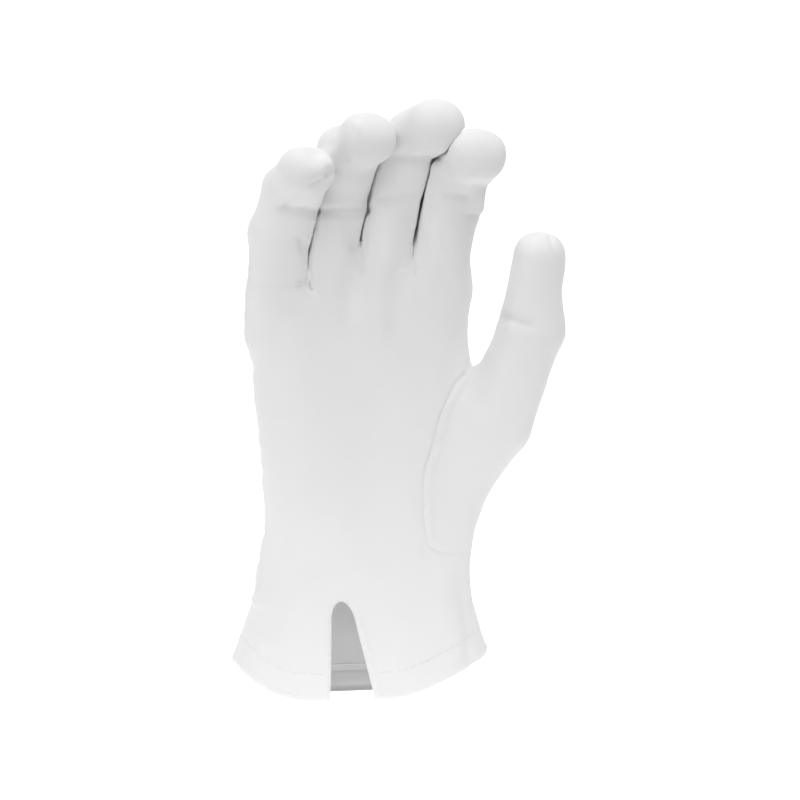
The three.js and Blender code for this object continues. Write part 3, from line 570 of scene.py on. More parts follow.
def parting_point(index, z):
    ends = []
    for finger in (fingers[index], fingers[index + 1]):
        along = (z - finger["points"][0][2]) / finger["directions"][0][2]
        ends.append(finger["points"][0] + finger["directions"][0] * along)
    low, high = 0.0, 1.0
    for _ in range(20):
        middle = (low + high) / 2.0
        p = lerp(ends[0], ends[1], middle)[None]
        if chain_distance(p, fingers[index])[0] < chain_distance(p, fingers[index + 1])[0]:
            low = middle
        else:
            high = middle
    return lerp(ends[0], ends[1], low)


def web_sight(index, around):
    low = parting_point(index, web_z[index] - WEB_DEPTH)
    up = unit(parting_point(index, web_z[index] + WEB_CLEAR) - low)
    front = np.cross(unit(fingers[index]["side"] + fingers[index + 1]["side"]), up)
    turn = (math.pi * np.asarray(around, float))[:, None]
    return low + front * WEB_SPREAD * np.cos(turn), unit(front * np.cos(turn) + up * np.sin(turn))


def turn_across(index, place):
    outer = ((index == 0) & (place > 0)) | ((index == 3) & (place < 0))
    return place * np.where(outer, 90.0, GUSSET_EDGE)


def tip_sight(index, place, row, face):
    finger = fingers[index]
    point, direction, side, front = chain_at(finger, np.full(len(place), finger["lengths"].sum()))
    turn = np.radians(turn_across(index, place))[:, None]
    start = front * (-face * np.cos(turn)) + side * np.sin(turn)
    roll = np.radians(place * TIP_EDGE)[:, None]
    end = direction * np.cos(roll) + side * np.sin(roll)
    angle = np.arccos(np.clip((start * end).sum(1), -1.0, 1.0))[:, None]
    share = ((row - ROW_TIPS) / TIP_ROWS)[:, None]
    return point, unit(start * np.sin((1.0 - share) * angle) + end * np.sin(share * angle))


def pick(mask, a, b):
    """Lines of sight taken from a where the mask is set, and from b elsewhere."""
    return np.where(mask[:, None], a[0], b[0]), np.where(mask[:, None], a[1], b[1])


def finger_sight(index, place, row, face):
    turn = turn_across(index, place)
    ring = ring_sight(fingers[index], finger_along(index, row), turn if face == PALM_FACE else 180.0 - turn)
    sights = pick(row > ROW_TIPS, tip_sight(index, place, row, face), ring)
    for web, sign in ((index, -1), (index - 1, 1)):
        if 0 <= web < 3:
            around = np.full(len(place), 0.0 if face == PALM_FACE else 1.0)
            near_web = between(ring, web_sight(web, around), np.abs(place) ** 4)
            sights = pick((row <= ROW_WEBS) & (place * sign > 0), near_web, sights)
    return sights


def panel_sight(row, column, strip, face, towards):
    across = column / (4.0 * COLUMNS)
    place = 2.0 * (column - strip * COLUMNS) / COLUMNS - 1.0
    tube = tube_sight(np.minimum(row, ROW_WEBS), across, face, towards)
    start, to = tube
    start, to = start.copy(), to.copy()
    for index in range(4):
        mine = (strip == 3 - index) & (row > ROW_KNUCKLES)
        if not mine.any():
            continue
        top = finger_sight(index, place[mine], np.maximum(row[mine], ROW_WEBS), face)
        share = np.clip((row[mine] - ROW_KNUCKLES) / (ROW_WEBS - ROW_KNUCKLES), 0.0, 1.0)
        mixed = between((tube[0][mine], tube[1][mine]), top, share)
        start[mine], to[mine] = pick(row[mine] >= ROW_WEBS, top, mixed)
    return start, to


def gusset_sight(index, member, row, around):
    hand = -1.0 if member == 0 else 1.0
    finger = index + member
    turn = hand * lerp(GUSSET_EDGE, 180.0 - GUSSET_EDGE, around)
    ring = ring_sight(fingers[finger], finger_along(finger, row), turn)
    place = np.full(len(row), hand)
    tip = between(tip_sight(finger, place, row, PALM_FACE), tip_sight(finger, place, row, BACK_FACE), around)
    sights = pick(row > ROW_TIPS, tip, ring)
    return pick(row <= ROW_WEBS, web_sight(index, around), sights)


def thumb_sight(row, step):
    palm_side = step <= SEAM_ROWS
    seam_row = ROW_WRIST + np.where(palm_side, step, SEAM_STEPS - step)
    ones = np.ones(len(step))
    seam = pick(palm_side, tube_sight(seam_row, ones, PALM_FACE), tube_sight(seam_row, ones, BACK_FACE))
    turn = 90.0 - 360.0 * step / SEAM_STEPS
    free = ring_sight(thumb, np.full(len(step), THUMB_FREE * thumb_reach), turn)
    base = between(seam, free, ease(row / THUMB_BASE_ROWS))
    share = np.clip((row - THUMB_BASE_ROWS) / THUMB_ROWS, 0.0, 1.0)
    ring = ring_sight(thumb, lerp(THUMB_FREE, 1.0, share) * thumb_reach, turn)
    tip = (math.pi / 2.0 * np.maximum(row - THUMB_BASE_ROWS - THUMB_ROWS, 0.0) / TIP_ROWS)[:, None]
    direction = chain_at(thumb, np.full(len(step), thumb_reach))[1]
    upper = ring[0], unit(ring[1] * np.cos(tip) + direction * np.sin(tip))
    return pick(row <= THUMB_BASE_ROWS, base, upper)


# ---- Folds, gathers and seams ----

# Creases (deep) and swells (less than nothing deep) that the cloth shows from the palm's side: each runs from
# one place to another, across and up from the origin as the camera sees it, and is so wide and deep.
FOLDS = {
    "middle_end_crease": (15.6, 208.8, 29.6, 208.8, 2.0, 0.8),
    "middle_joint_crease": (8.8, 192.4, 21.6, 192.4, 1.5, 0.7),
    "middle_pad": (10.8, 185.6, 12.0, 173.2, 5.0, -1.1),
    "ring_pad": (-9.0, 184.0, -8.0, 170.0, 4.5, -0.8),
    "index_pad": (36.0, 182.0, 38.0, 166.0, 6.0, -0.9),
    "index_dash_low": (34.8, 193.2, 41.6, 193.2, 1.3, 0.6),
    "index_dash_high": (43.6, 186.0, 46.8, 186.0, 1.2, 0.5),
    "index_notch": (47.2, 197.6, 50.0, 196.8, 2.0, 0.8),
    "index_bump": (48.8, 190.8, 48.8, 189.2, 3.5, -0.6),
    "index_root_bump": (42.4, 156.8, 43.2, 155.2, 4.0, -0.6),
    "index_streak_left": (26.0, 185.6, 27.2, 172.8, 1.8, -0.5),
    "index_streak_right": (30.4, 184.8, 31.2, 173.6, 1.8, -0.4),
    "ring_tip_ridge": (-2.4, 221.6, -2.8, 208.8, 1.5, -0.6),
    "ring_wedge": (-14.8, 196.0, -0.4, 193.6, 4.0, 0.7),
    "ring_joint_crease": (-29.6, 187.2, 1.2, 187.2, 2.0, 1.0),
    "little_end_crease": (-31.6, 188.4, -12.4, 201.2, 2.0, 0.9),
    "little_notch": (-11.2, 202.8, -9.6, 201.2, 2.2, 1.1),
    "little_root_pucker": (-23.6, 175.2, -22.8, 172.8, 1.8, 0.9),
    "web_pinch": (-23.2, 158.4, -21.2, 157.6, 1.8, 1.0),
    "web_bump": (-18.8, 156.4, -18.0, 155.6, 2.6, -0.7),
    "ring_root_pucker": (-2.8, 172.8, -2.0, 171.2, 1.6, 0.7),
    "valley_ring": (-4.4, 156.8, -4.4, 147.2, 4.0, 0.8),
    "valley_middle": (14.4, 163.2, 14.4, 140.0, 4.0, 0.7),
    "palm_band": (-24.4, 138.0, -24.8, 32.0, 7.0, -0.8),
    "cuff_bump": (-40.0, 16.4, -39.2, 15.6, 3.0, -0.7),
    "cuff_fold": (42.8, 31.2, 44.8, 8.8, 3.0, 1.0),
    "thumb_joint_crease": (55.6, 145.6, 68.0, 142.4, 1.8, 0.9),
    "ring_shoulder": (-14.0, 223.0, -16.0, 216.0, 6.0, 1.8),
    "thumb_tip_line": (74.8, 179.2, 79.2, 167.2, 0.9, 0.35),
    "side_ridge": (-38.0, 56.0, -41.2, 31.2, 1.6, -0.8),
}
SEAM_FADE = (165.0, 190.0)  # heights between which the seams grow faint
UNDER_THUMB = (26.0, 7.0, 70.0, 10.0)  # where they grow faint across and up, each with its width
FAINT_HIGH, FAINT_UNDER = 0.05, 0.1
WAVES = ((0.6, 20.0, 0.4, 1), (0.2, 10.0, 0.6, 2))  # share, scale, how much of the height counts, and seed
SEAM_WAVES = ((1.0, 5.5, 3), (0.4, 2.6, 4))  # share, scale and seed
FREE_SINK = 0.5
FREE_RIDGE, FREE_RIDGE_AT, FREE_RIDGE_WIDE = 0.45, 1.7, 1.1  # the roll beside a free edge
GATHER_AT, GATHER_WIDE = 2.2, 2.4  # from a seam
FOLD_DEPTH = 1.9
CAMERA_TARGET = np.array((0.0, 0.0, 115.0))
CAMERA_DISTANCE = 1500.0
FRAME_SIDE = 320.0
FRAME_SHIFT = (39.0 / 800.0, -7.5 / 800.0)


def camera_axes():
    turn, up = math.radians(FOLD_TURN), math.radians(FOLD_RAISE)
    ahead = np.array((-math.sin(turn) * math.cos(up), math.cos(turn) * math.cos(up), -math.sin(up)))
    right = np.array((math.cos(turn), math.sin(turn), 0.0))
    return ahead, right, np.cross(right, ahead)


AHEAD, RIGHT, ABOVE = camera_axes()
EYE = CAMERA_TARGET - AHEAD * CAMERA_DISTANCE


def seen_at(p):
    """Where the camera sees a point, across and up from the origin in millimetres."""
    q = p - EYE
    scale = CAMERA_DISTANCE / (q @ AHEAD)
    return q @ RIGHT * scale, q @ ABOVE * scale + CAMERA_TARGET[2]


def waves(p, scale, seed):
    """Smooth waves with no direction of their own, from -1 to 1, about scale apart."""
    rng = np.random.default_rng(seed)
    total = np.zeros(len(p))
    for _ in range(9):
        way = unit(rng.normal(size=3))
        total += np.sin(p @ way * (2.0 * math.pi / scale) * rng.uniform(0.7, 1.4) + rng.uniform(0.0, 6.28))
    return total / 4.0


def fold_height(p, normal):
    across, up = seen_at(p)
    facing = np.clip((0.2 - normal @ AHEAD) / 0.4, 0.0, 1.0)
    bend = waves(p, 14.0, 5) * 0.8
    total = np.zeros(len(p))
    for x0, y0, x1, y1, wide, deep in FOLDS.values():
        run = np.array((x1 - x0, y1 - y0))
        length = max(float(np.hypot(*run)), 1e-3)
        ahead = run / length
        dx, dy = across - x0, up - y0
        along = dx * ahead[0] + dy * ahead[1]
        beside = -dx * ahead[1] + dy * ahead[0] + (bend if length > 12.0 else 0.0)
        over = np.maximum(np.maximum(-along, along - length), 0.0)
        total -= FOLD_DEPTH * deep * np.exp(-((beside / wide) ** 2) - (over / (wide * 1.2)) ** 2)
    return total * facing


def seam_fade(p):
    """How strongly a seam shows: faint at the fingertips and under the thumb."""
    high = np.clip((p[:, 2] - SEAM_FADE[0]) / (SEAM_FADE[1] - SEAM_FADE[0]), 0.0, 1.0)
    across, up = (p[:, 0] - UNDER_THUMB[0]) / UNDER_THUMB[1], (UNDER_THUMB[2] - p[:, 2]) / UNDER_THUMB[3]
    under = np.clip(across, 0.0, 1.0) * np.clip(up, 0.0, 1.0)
    return lerp(1.0, FAINT_HIGH, high) * lerp(1.0, FAINT_UNDER, under)


def dress(p, normal, edge=None, gather=None, free=None):
    """The worn cloth's outer face: waves, folds, and edges that turn in at the seams."""
    settings = bpy.context.scene.glove
    crumple, sink = settings.cloth.crumple / MM, settings.seams.sink / MM
    reach, pucker = settings.seams.reach / MM, settings.seams.pucker / MM
    soft = sum(share * waves(p * (1.0, 1.0, tall), scale, seed) for share, scale, tall, seed in WAVES)
    height = crumple * soft + fold_height(p, normal)
    if edge is not None:
        roll = np.exp(-((edge / reach) ** 2))
        fade = seam_fade(p)
        height -= np.where(free, FREE_SINK, fade) * sink * roll
        ridge = np.exp(-(((edge - FREE_RIDGE_AT) / FREE_RIDGE_WIDE) ** 2))
        height += np.where(free, FREE_RIDGE * ridge, 0.0)
        near = np.exp(-(((edge - GATHER_AT) / GATHER_WIDE) ** 2))
        height += np.where(free, 0.0, fade) * pucker * gather * near
    return p + normal * height[:, None]


# ---- Meshes ----

SUB_ROWS = 7
SUB_COLUMNS = 5
EDGE_PLACES = 5  # places tested along each edge of the border


def all_free(border):
    return np.ones(len(border), bool)


def none_free(border):
    return np.zeros(len(border), bool)


def row_and_column(r, c, cell):
    return r, c


def lattice(rows, columns, key_of):
    """Cells between rows and columns, corners named once each, and each cell's two corners along each row."""
    names, cells = {}, []
    sides = np.zeros((rows + 1, columns, 2), int)
    for r in range(rows):
        for c in range(columns):
            corners = [key_of(r, c, c), key_of(r, c + 1, c), key_of(r + 1, c + 1, c), key_of(r + 1, c, c)]
            ids = [names.setdefault(key, len(names)) for key in corners]
            sides[r, c], sides[r + 1, c] = ids[:2], (ids[3], ids[2])
            kept = [a for i, a in enumerate(ids) if a != ids[(i + 1) % 4]]
            cells.append(kept)
    return np.array(list(names), float), cells, sides


def border_of(cells):
    edges = {}
    for cell in cells:
        for i, a in enumerate(cell):
            edges[(a, cell[(i + 1) % len(cell)])] = True
    return [(a, b) for a, b in edges if (b, a) not in edges]


def edge_distances(points, border, is_free):
    """Each point's distance from the cloth's border, and whether that stretch is a free edge."""
    ends = points[np.array(border)]
    free = is_free(np.array(border))
    shares = np.arange(EDGE_PLACES) / EDGE_PLACES
    shares = shares[None, :, None]
    places = (ends[:, None, 0] * (1.0 - shares) + ends[:, None, 1] * shares).reshape(-1, 3)
    tree = KDTree(len(places))
    for i, place in enumerate(places):
        tree.insert(place, i)
    tree.balance()
    found = [tree.find(point)[1:] for point in points]
    index = np.array([f[0] for f in found])
    return np.array([f[1] for f in found]), free[index // EDGE_PLACES], places[index]


def cloth_points(row, sight_of):
    """Points on the outer face. Rows just above the webs lie between the rows on either side."""
    every = np.ones(len(row), bool)
    bridge = (row > ROW_WEBS) & (row < ROW_WEBS + 1)
    p = leave(sight_of(np.where(bridge, ROW_WEBS, row), every))
    if bridge.any():
        high = leave(sight_of(np.full(int(bridge.sum()), ROW_WEBS + 1.0), bridge))
        p[bridge] = settle(lerp(p[bridge], high, (row[bridge] - ROW_WEBS)[:, None]))
    return p


def relax(points, cells, rounds=30):
    """Evens out the spacing of a cloth's inner points, which stay on the outer face."""
    pairs = {tuple(sorted((a, cell[(i + 1) % len(cell)]))) for cell in cells for i, a in enumerate(cell)}
    pairs = np.array(sorted(pairs))
    pairs = np.concatenate([pairs, pairs[:, ::-1]])
    count = np.bincount(pairs[:, 0], minlength=len(points))[:, None]
    inner = np.ones(len(points), bool)
    inner[np.unique(border_of(cells))] = False
    for i in range(rounds):
        near = points[pairs[:, 1]]
        total = np.stack([np.bincount(pairs[:, 0], near[:, axis], len(points)) for axis in range(3)], -1)
        points = np.where(inner[:, None], lerp(points, total / count, 0.7), points)
        if i % 6 == 5:
            points[inner] = settle(points[inner], 1)
    return points


def make_object(name, points, cells, uvs, material, flat=0):
    """A mesh object whose last flat faces are left unsmoothed."""
    mesh = bpy.data.meshes.new(name)
    mesh.from_pydata([tuple(v) for v in points * MM], [], cells)
    layer = mesh.uv_layers.new(name="cloth")
    corners = read(mesh.loops, "vertex_index", kind=int)
    layer.data.foreach_set("uv", (uvs[corners] * MM).astype(np.float32).ravel())
    mesh.materials.append(material)
    soft = np.ones(len(cells), bool)
    soft[len(cells) - flat :] = False
    mesh.polygons.foreach_set("use_smooth", soft)
    mesh.update()
    return add_object(name, mesh)


def sew(name, node, cells, points, uvs, is_free, raised=None, depth=0.0, thick=CLOTH):
    """Makes one piece of cloth from its outer face, with thickness, and puts it in place of its node."""
    normal = outward(points)
    border = border_of(cells)
    a, b, c = (points[[cell[i] for cell in cells[:400]]] for i in range(3))
    facing = np.cross(b - a, c - a)
    if (facing * normal[[cell[0] for cell in cells[:400]]]).sum() < 0:
        cells = [cell[::-1] for cell in cells]
        border = [(b, a) for a, b in border]
    edge, free, seam = edge_distances(points, border, is_free)
    gather = sum(share * waves(seam, scale, seed) for share, scale, seed in SEAM_WAVES)
    outer = dress(points, normal, edge, gather, free)
    if raised is not None:
        outer = outer + normal * raised(edge)[:, None]
    outer = outer - normal * np.broadcast_to(depth, len(points))[:, None]
    inner = outer - normal * np.broadcast_to(thick, len(points))[:, None]
    count = len(points)
    walls = [(b, a, a + count, b + count) for a, b in border]
    under = [tuple(i + count for i in reversed(cell)) for cell in cells]
    everything = [tuple(cell) for cell in cells] + under + walls
    both = np.concatenate([outer, inner])
    piece = make_object(name, both, everything, np.concatenate([uvs, uvs]), cotton_material(), len(walls))
    # The inner faces get the darker wrong-side material, painted shade for the glove's inside.
    piece.data.materials.append(shaded_inside_material())
    inside = np.zeros(len(everything), np.int32)
    inside[len(cells) : 2 * len(cells)] = 1
    piece.data.polygons.foreach_set("material_index", inside)
    piece["outer_points"] = count
    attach(piece, "root")
    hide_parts(node)
    return piece


SAME_PLACE = 2e5  # steps to the metre at which points count as one


def read(things, name, width=1, kind=float):
    """One property of all of a mesh's parts."""
    values = np.zeros(len(things) * width, kind)
    things.foreach_get(name, values)
    return values.reshape(-1, width) if width > 1 else values


def share_normals(pieces):
    """Lets pieces that meet at a seam shade alike there, so that only the seam's own groove shows."""
    parts, total = [], {}
    for piece in pieces:
        mesh = piece.data
        faces = mesh.polygons
        corners = read(mesh.loops, "vertex_index", kind=int)
        face = np.repeat(np.arange(len(faces)), read(faces, "loop_total", kind=int))
        smooth = read(faces, "use_smooth", kind=bool)[face]
        ways = read(faces, "normal", 3)[face]
        push = np.zeros((len(mesh.vertices), 3))
        np.add.at(push, corners[smooth], (ways * read(faces, "area")[face][:, None])[smooth])
        places = read(mesh.vertices, "co", 3)[: piece["outer_points"]]
        keys = [tuple(key) for key in np.round(places * SAME_PLACE).astype(np.int64)]
        for key, way in zip(keys, push):
            total[key] = total.get(key, 0.0) + way
        parts.append((mesh, keys, push, corners, smooth, ways))
    for mesh, keys, push, corners, smooth, ways in parts:
        push[: len(keys)] = [total[key] for key in keys]
        normals = np.where(smooth[:, None], unit(push)[corners], ways)
        mesh.normals_split_custom_set([tuple(way) for way in normals])


def cloth_lengths(points, sides, still=0, strips=None, ring=False):
    """Places on the flat cloth, along each row from its middle and along each column from the row still.

    Above the row strips[0], strips of strips[1] columns are measured from their own middles."""
    p = points[sides]
    wide = np.linalg.norm(p[:, :, 1] - p[:, :, 0], axis=-1)
    apart = np.linalg.norm(p[:, 1:, 0] - p[:, :-1, 1], axis=-1)
    run = np.cumsum(wide[:, :-1] + apart, axis=1)
    left = np.concatenate([np.zeros((len(p), 1)), run], axis=1)
    ends = np.stack([left, left + wide], -1)
    if ring:
        ends = np.minimum(ends, ends[:, -1:, 1:] - ends)
    else:
        ends -= left[:, left.shape[1] // 2][:, None, None]
    if strips:
        row, size = strips
        for first in range(0, left.shape[1], size):
            middle = ends[:, first + size // 2, 0].copy()
            ends[row + 1 :, first : first + size] += (middle[row] - middle[row + 1 :])[:, None, None]
    rise = np.linalg.norm(np.diff(p, axis=0), axis=-1)
    up = np.concatenate([np.zeros((1, *rise.shape[1:])), np.cumsum(rise, axis=0)])
    up -= up[still]
    flat = np.zeros((len(points), 2))
    flat[sides] = np.stack([ends, up], -1)
    return flat


def make_panel(name, node, face):
    across = 4 * COLUMNS * SUB_COLUMNS
    strip_wide = COLUMNS * SUB_COLUMNS
    webs, vent_row, vent_column = ROW_WEBS * SUB_ROWS, ROW_VENT * SUB_ROWS, round(VENT_AT * across)

    def key_of(r, c, cell):
        strip = cell // strip_wide if r > webs else min(c // strip_wide, 3)
        split = face == PALM_FACE and r < vent_row and c == vent_column
        return r, c, strip, (-1 if cell < vent_column else 1) if split else 0

    keys, cells, corners = lattice(ROW_END * SUB_ROWS, across, key_of)
    rows, columns, strips, sides = keys[:, 0] / SUB_ROWS, keys[:, 1] / SUB_COLUMNS, keys[:, 2], keys[:, 3]
    towards = np.where(sides != 0, sides, np.where(keys[:, 1] < vent_column, -1, 1))

    def sight_of(row, which):
        return panel_sight(row, columns[which], strips[which], face, towards[which])

    points = relax(cloth_points(rows, sight_of), cells)
    uvs = cloth_lengths(points, corners, ROW_WRIST * SUB_ROWS, (webs, strip_wide))

    def is_free(border):
        r = keys[border, 0]
        vent = (keys[border, 1] == vent_column) & (r <= vent_row) & (face == PALM_FACE)
        return (r == 0).all(1) | vent.all(1)

    return sew(name, node, cells, points, uvs, is_free)


def make_gusset(index, name, node):
    span, columns = (ROW_END - ROW_WEBS) * SUB_ROWS, 12

    def key_of(r, c, cell):
        return (r, 0) if r in (0, 2 * span) else (r, c)

    keys, cells, corners = lattice(2 * span, columns, key_of)
    member = (keys[:, 0] >= span).astype(int)
    rows = ROW_WEBS + np.abs(keys[:, 0] - span) / SUB_ROWS
    around = keys[:, 1] / columns

    def sight_of(row, which):
        first = gusset_sight(index, 0, row, around[which])
        return pick(member[which] == 0, first, gusset_sight(index, 1, row, around[which]))

    points = relax(cloth_points(rows, sight_of), cells)
    uvs = cloth_lengths(points, corners, span)
    return sew(name, node, cells, points, uvs, none_free)


THUMB_RIDGE, THUMB_RIDGE_AT, THUMB_RIDGE_WIDE = 0.5, 2.3, 1.2  # the raised line inside the thumb's seam


def make_thumb_piece():
    sub = SUB_COLUMNS
    around, rise = SEAM_STEPS * sub, THUMB_END * sub

    def key_of(r, c, cell):
        return (r, 0) if r == rise else (r, c % around)

    keys, cells, corners = lattice(rise, around, key_of)
    rows, steps = keys[:, 0] / sub, keys[:, 1] / sub
    points = relax(leave(thumb_sight(rows, steps)), cells)
    uvs = cloth_lengths(points, corners, THUMB_BASE_ROWS * sub, ring=True)

    def raised(edge):
        return THUMB_RIDGE * seam_fade(points) * np.exp(-(((edge - THUMB_RIDGE_AT) / THUMB_RIDGE_WIDE) ** 2))

    return sew("thumb_cloth", "thumb_piece", cells, points, uvs, none_free, raised)


def rim_stations(count):
    """Places round the rim, from one side of the vent to the other, as face, across and side of the vent."""
    right = [(PALM_FACE, a, 1) for a in np.linspace(VENT_AT, 1.0, count, endpoint=False)[1:]]
    back = [(BACK_FACE, a, 0) for a in np.linspace(1.0, 0.0, 2 * count, endpoint=False)]
    left = [(PALM_FACE, a, -1) for a in np.linspace(0.0, VENT_AT, count, endpoint=False)]
    return right + back + left


def rim_points(stations, above):
    """Points of the outer face at heights above the rim."""
    found = np.zeros((len(stations), 3))
    faces = np.array([s[0] for s in stations])
    across, towards = np.array([s[1] for s in stations]), np.array([s[2] for s in stations])
    for face in (PALM_FACE, BACK_FACE):
        mine = faces == face
        turn = np.radians(90.0 - 90.0 * (2.0 * across[mine] - 1.0) ** 3)
        height = rim_height(turn, face) + np.asarray(above)[mine]
        found[mine] = leave(tube_sight(0.0, across[mine], face, towards[mine], height))
    return found


HEM_STATIONS, HEM_LEVELS = 60, 12
LAYER = 0.25  # between the cloth and the layer sewn inside it
HEM_TOP_THICK, HEM_TOP_LAYER = 0.15, -0.3  # the hem's upper edge sinks into the cloth


def make_hem():
    stations = rim_stations(HEM_STATIONS)
    keys, cells, corners = lattice(HEM_LEVELS, len(stations) - 1, row_and_column)
    share = keys[:, 0] / HEM_LEVELS
    above = share * HEM_HEIGHT
    points = rim_points([stations[int(c)] for c in keys[:, 1]], above)
    uvs = cloth_lengths(points, corners)
    thick = lerp(CLOTH, HEM_TOP_THICK, share)
    depth = CLOTH + lerp(LAYER, HEM_TOP_LAYER, share)
    return sew("hem_cloth", "cuff_hem", cells, points, uvs, all_free, depth=depth, thick=thick)


VENT_STATIONS = 60
COLUMN_WIDE = 5.25  # of the palm's columns beside the vent
FACING_EDGE, FACING_WIDE, FACING_COLUMNS = 0.3, 4.2, 6


def vent_path(offset, count=VENT_STATIONS):
    """Points beside the vent's edge, up one side, over its top and down the other."""
    columns = 4 * COLUMNS
    reach = offset / COLUMN_WIDE / columns
    up = np.linspace(0.05, ROW_VENT, count)
    over = np.linspace(-1.0, 1.0, max(count // 3, 5))[1:-1]
    rows = np.concatenate([up, np.full(len(over), float(ROW_VENT)), up[::-1]])
    aside = np.full(count, reach)
    places = VENT_AT + np.concatenate([-aside, over * reach, aside])
    towards = np.where(np.arange(len(rows)) < count + len(over) / 2, -1, 1)
    s = 2.0 * places - 1.0
    turn = np.radians(90.0 - 90.0 * s**3)
    heights = row_height(rows, places, turn, PALM_FACE)
    bow = np.concatenate([np.zeros(count), offset * np.cos(over * math.pi / 2.0), np.zeros(count)])
    return leave(tube_sight(0.0, places, PALM_FACE, towards, heights + bow))


def make_facing():
    offsets = [FACING_EDGE + FACING_WIDE * c / FACING_COLUMNS for c in range(FACING_COLUMNS + 1)]
    lines = [vent_path(offset) for offset in offsets]
    keys, cells, corners = lattice(len(lines[0]) - 1, FACING_COLUMNS, row_and_column)
    points = np.array([lines[int(c)][int(r)] for r, c in keys])
    uvs = cloth_lengths(points, corners)
    return sew("vent_facing_cloth", "vent_facing", cells, points, uvs, all_free, depth=CLOTH + LAYER)


def stitch_line(points, length, gap):
    """Stitches along a line on the cloth, each as its two ends."""
    run = np.concatenate([[0.0], np.cumsum(np.linalg.norm(np.diff(points, axis=0), axis=1))])
    count = math.ceil((run[-1] - length - gap) / (length + gap))
    at = gap + np.arange(count) * (length + gap)
    at = np.stack([at, at + length], -1)
    return np.stack([np.interp(at, run, points[:, axis]) for axis in range(3)], -1)


STITCH_STATIONS = 90
HEM_STITCHES, VENT_STITCHES = 0.6, 2.0  # below the hem's upper edge, and beside the vent
STITCH_SIDES, STITCH_RINGS = 8, 7
STITCH_GAP = 0.32  # of a stitch's length
STITCH_RISE, STITCH_SINK = 0.55, 0.25  # of the thread's thickness


def make_stitches(name, line):
    """Short lengths of thread lying in the cloth along a line."""
    seams = bpy.context.scene.glove.seams
    thick, length = seams.thread / MM, seams.stitch / MM
    ends = stitch_line(line, length, length * STITCH_GAP).reshape(-1, 3)
    normal = outward(ends)
    ends = dress(ends, normal).reshape(-1, 2, 1, 1, 3)
    up = unit(normal[::2] + normal[1::2])[:, None, None]
    a, b = ends[:, 0], ends[:, 1]
    beside = np.cross(unit(b - a), up)
    t = np.linspace(0.0, 1.0, STITCH_RINGS)[:, None, None]
    turn = np.linspace(0.0, 2.0 * math.pi, STITCH_SIDES, endpoint=False)[:, None]
    swell = np.sin(math.pi * (0.08 + 0.84 * t)) ** 0.5
    centre = lerp(a, b, t) + up * thick * (STITCH_RISE * np.sin(math.pi * t) - STITCH_SINK)
    points = centre + (beside * np.cos(turn) + up * np.sin(turn)) * thick / 2.0 * swell
    points = points.reshape(-1, 3)
    cells, size = [], STITCH_SIDES
    for first in range(0, len(points), STITCH_RINGS * size):
        last = first + (STITCH_RINGS - 1) * size
        for q in range(first, last, size):
            for s in range(size):
                t = (s + 1) % size
                cells.append((q + s, q + t, q + size + t, q + size + s))
        cells.append(tuple(range(first + size - 1, first - 1, -1)))
        cells.append(tuple(range(last, last + size)))
    piece = make_object(name, points, cells, points[:, :2].copy(), thread_material())
    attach(piece, "root")
    return piece


# ---- Materials ----


KNIT_NOISE, CLOUD_NOISE = (900.0, 3.0), (45.0, 4.0)  # scale and detail


def give(node, **values):
    """Sets a node's own inputs, named with _ for a space."""
    for name, value in values.items():
        node.inputs[name.replace("_", " ")].default_value = value


def knit_group():
    """Node group for the knit: fine ribs with the yarn's own unevenness."""
    name = "Glove knit"
    if name in bpy.data.node_groups:
        return bpy.data.node_groups[name]
    group = bpy.data.node_groups.new(name, "ShaderNodeTree")
    face = group.interface
    face.new_socket("Vector", in_out="INPUT", socket_type="NodeSocketVector")
    for label, value in (("Pitch", 0.00055), ("Unevenness", 0.4), ("Stain", 0.04)):
        face.new_socket(label, in_out="INPUT", socket_type="NodeSocketFloat").default_value = value
    tone = face.new_socket("Tone", in_out="INPUT", socket_type="NodeSocketColor")
    tone.default_value = (0.82, 0.82, 0.82, 1.0)
    for label, kind in (("Height", "Float"), ("Colour", "Color"), ("Roughness", "Float")):
        face.new_socket(label, in_out="OUTPUT", socket_type="NodeSocket" + kind)
    nodes, links = group.nodes, group.links
    given, put = nodes.new("NodeGroupInput").outputs, nodes.new("NodeGroupOutput").inputs

    def maths(kind, a, b=None):
        node = nodes.new("ShaderNodeMath")
        node.operation = kind
        for socket, value in zip(node.inputs, (a, b)):
            if isinstance(value, (int, float)):
                socket.default_value = value
            elif value is not None:
                links.new(value, socket)
        return node.outputs[0]

    def add(a, b):
        return maths("ADD", a, b)

    def times(a, b):
        return maths("MULTIPLY", a, b)

    def noise_of(scale, detail):
        node = nodes.new("ShaderNodeTexNoise")
        give(node, Scale=scale, Detail=detail)
        links.new(given["Vector"], node.inputs["Vector"])
        return node.outputs["Fac"]

    noise, cloud = noise_of(*KNIT_NOISE), noise_of(*CLOUD_NOISE)
    split = nodes.new("ShaderNodeSeparateXYZ")
    links.new(given["Vector"], split.inputs[0])
    x, y = (maths("DIVIDE", split.outputs[axis], given["Pitch"]) for axis in (0, 1))
    wale = maths("ABSOLUTE", maths("SINE", times(add(x, times(noise, given["Unevenness"])), math.pi)))
    lean = times(add(times(y, 1.3), times(wale, 0.5)), 2.0 * math.pi)
    course = times(add(maths("SINE", lean), 1.0), 0.25)
    height = add(times(wale, 0.6), times(course, wale))
    links.new(add(height, times(noise, 0.5)), put["Height"])
    # The colour is lighter on the ribs and darker in the knit's grooves, as painted shade; the cloud noise
    # adds a random uneven tone.
    shade = add(times(height, 0.05), add(times(cloud, given["Stain"]), 0.98))
    tone = nodes.new("ShaderNodeVectorMath")
    tone.operation = "SCALE"
    links.new(given["Tone"], tone.inputs[0])
    links.new(shade, tone.inputs["Scale"])
    links.new(tone.outputs[0], put["Colour"])
    links.new(add(times(noise, 0.12), 0.82), put["Roughness"])
    return group


def new_material(name):
    material = bpy.data.materials.new(name)
    material.use_nodes = True
    return material, material.node_tree.nodes["Principled BSDF"]


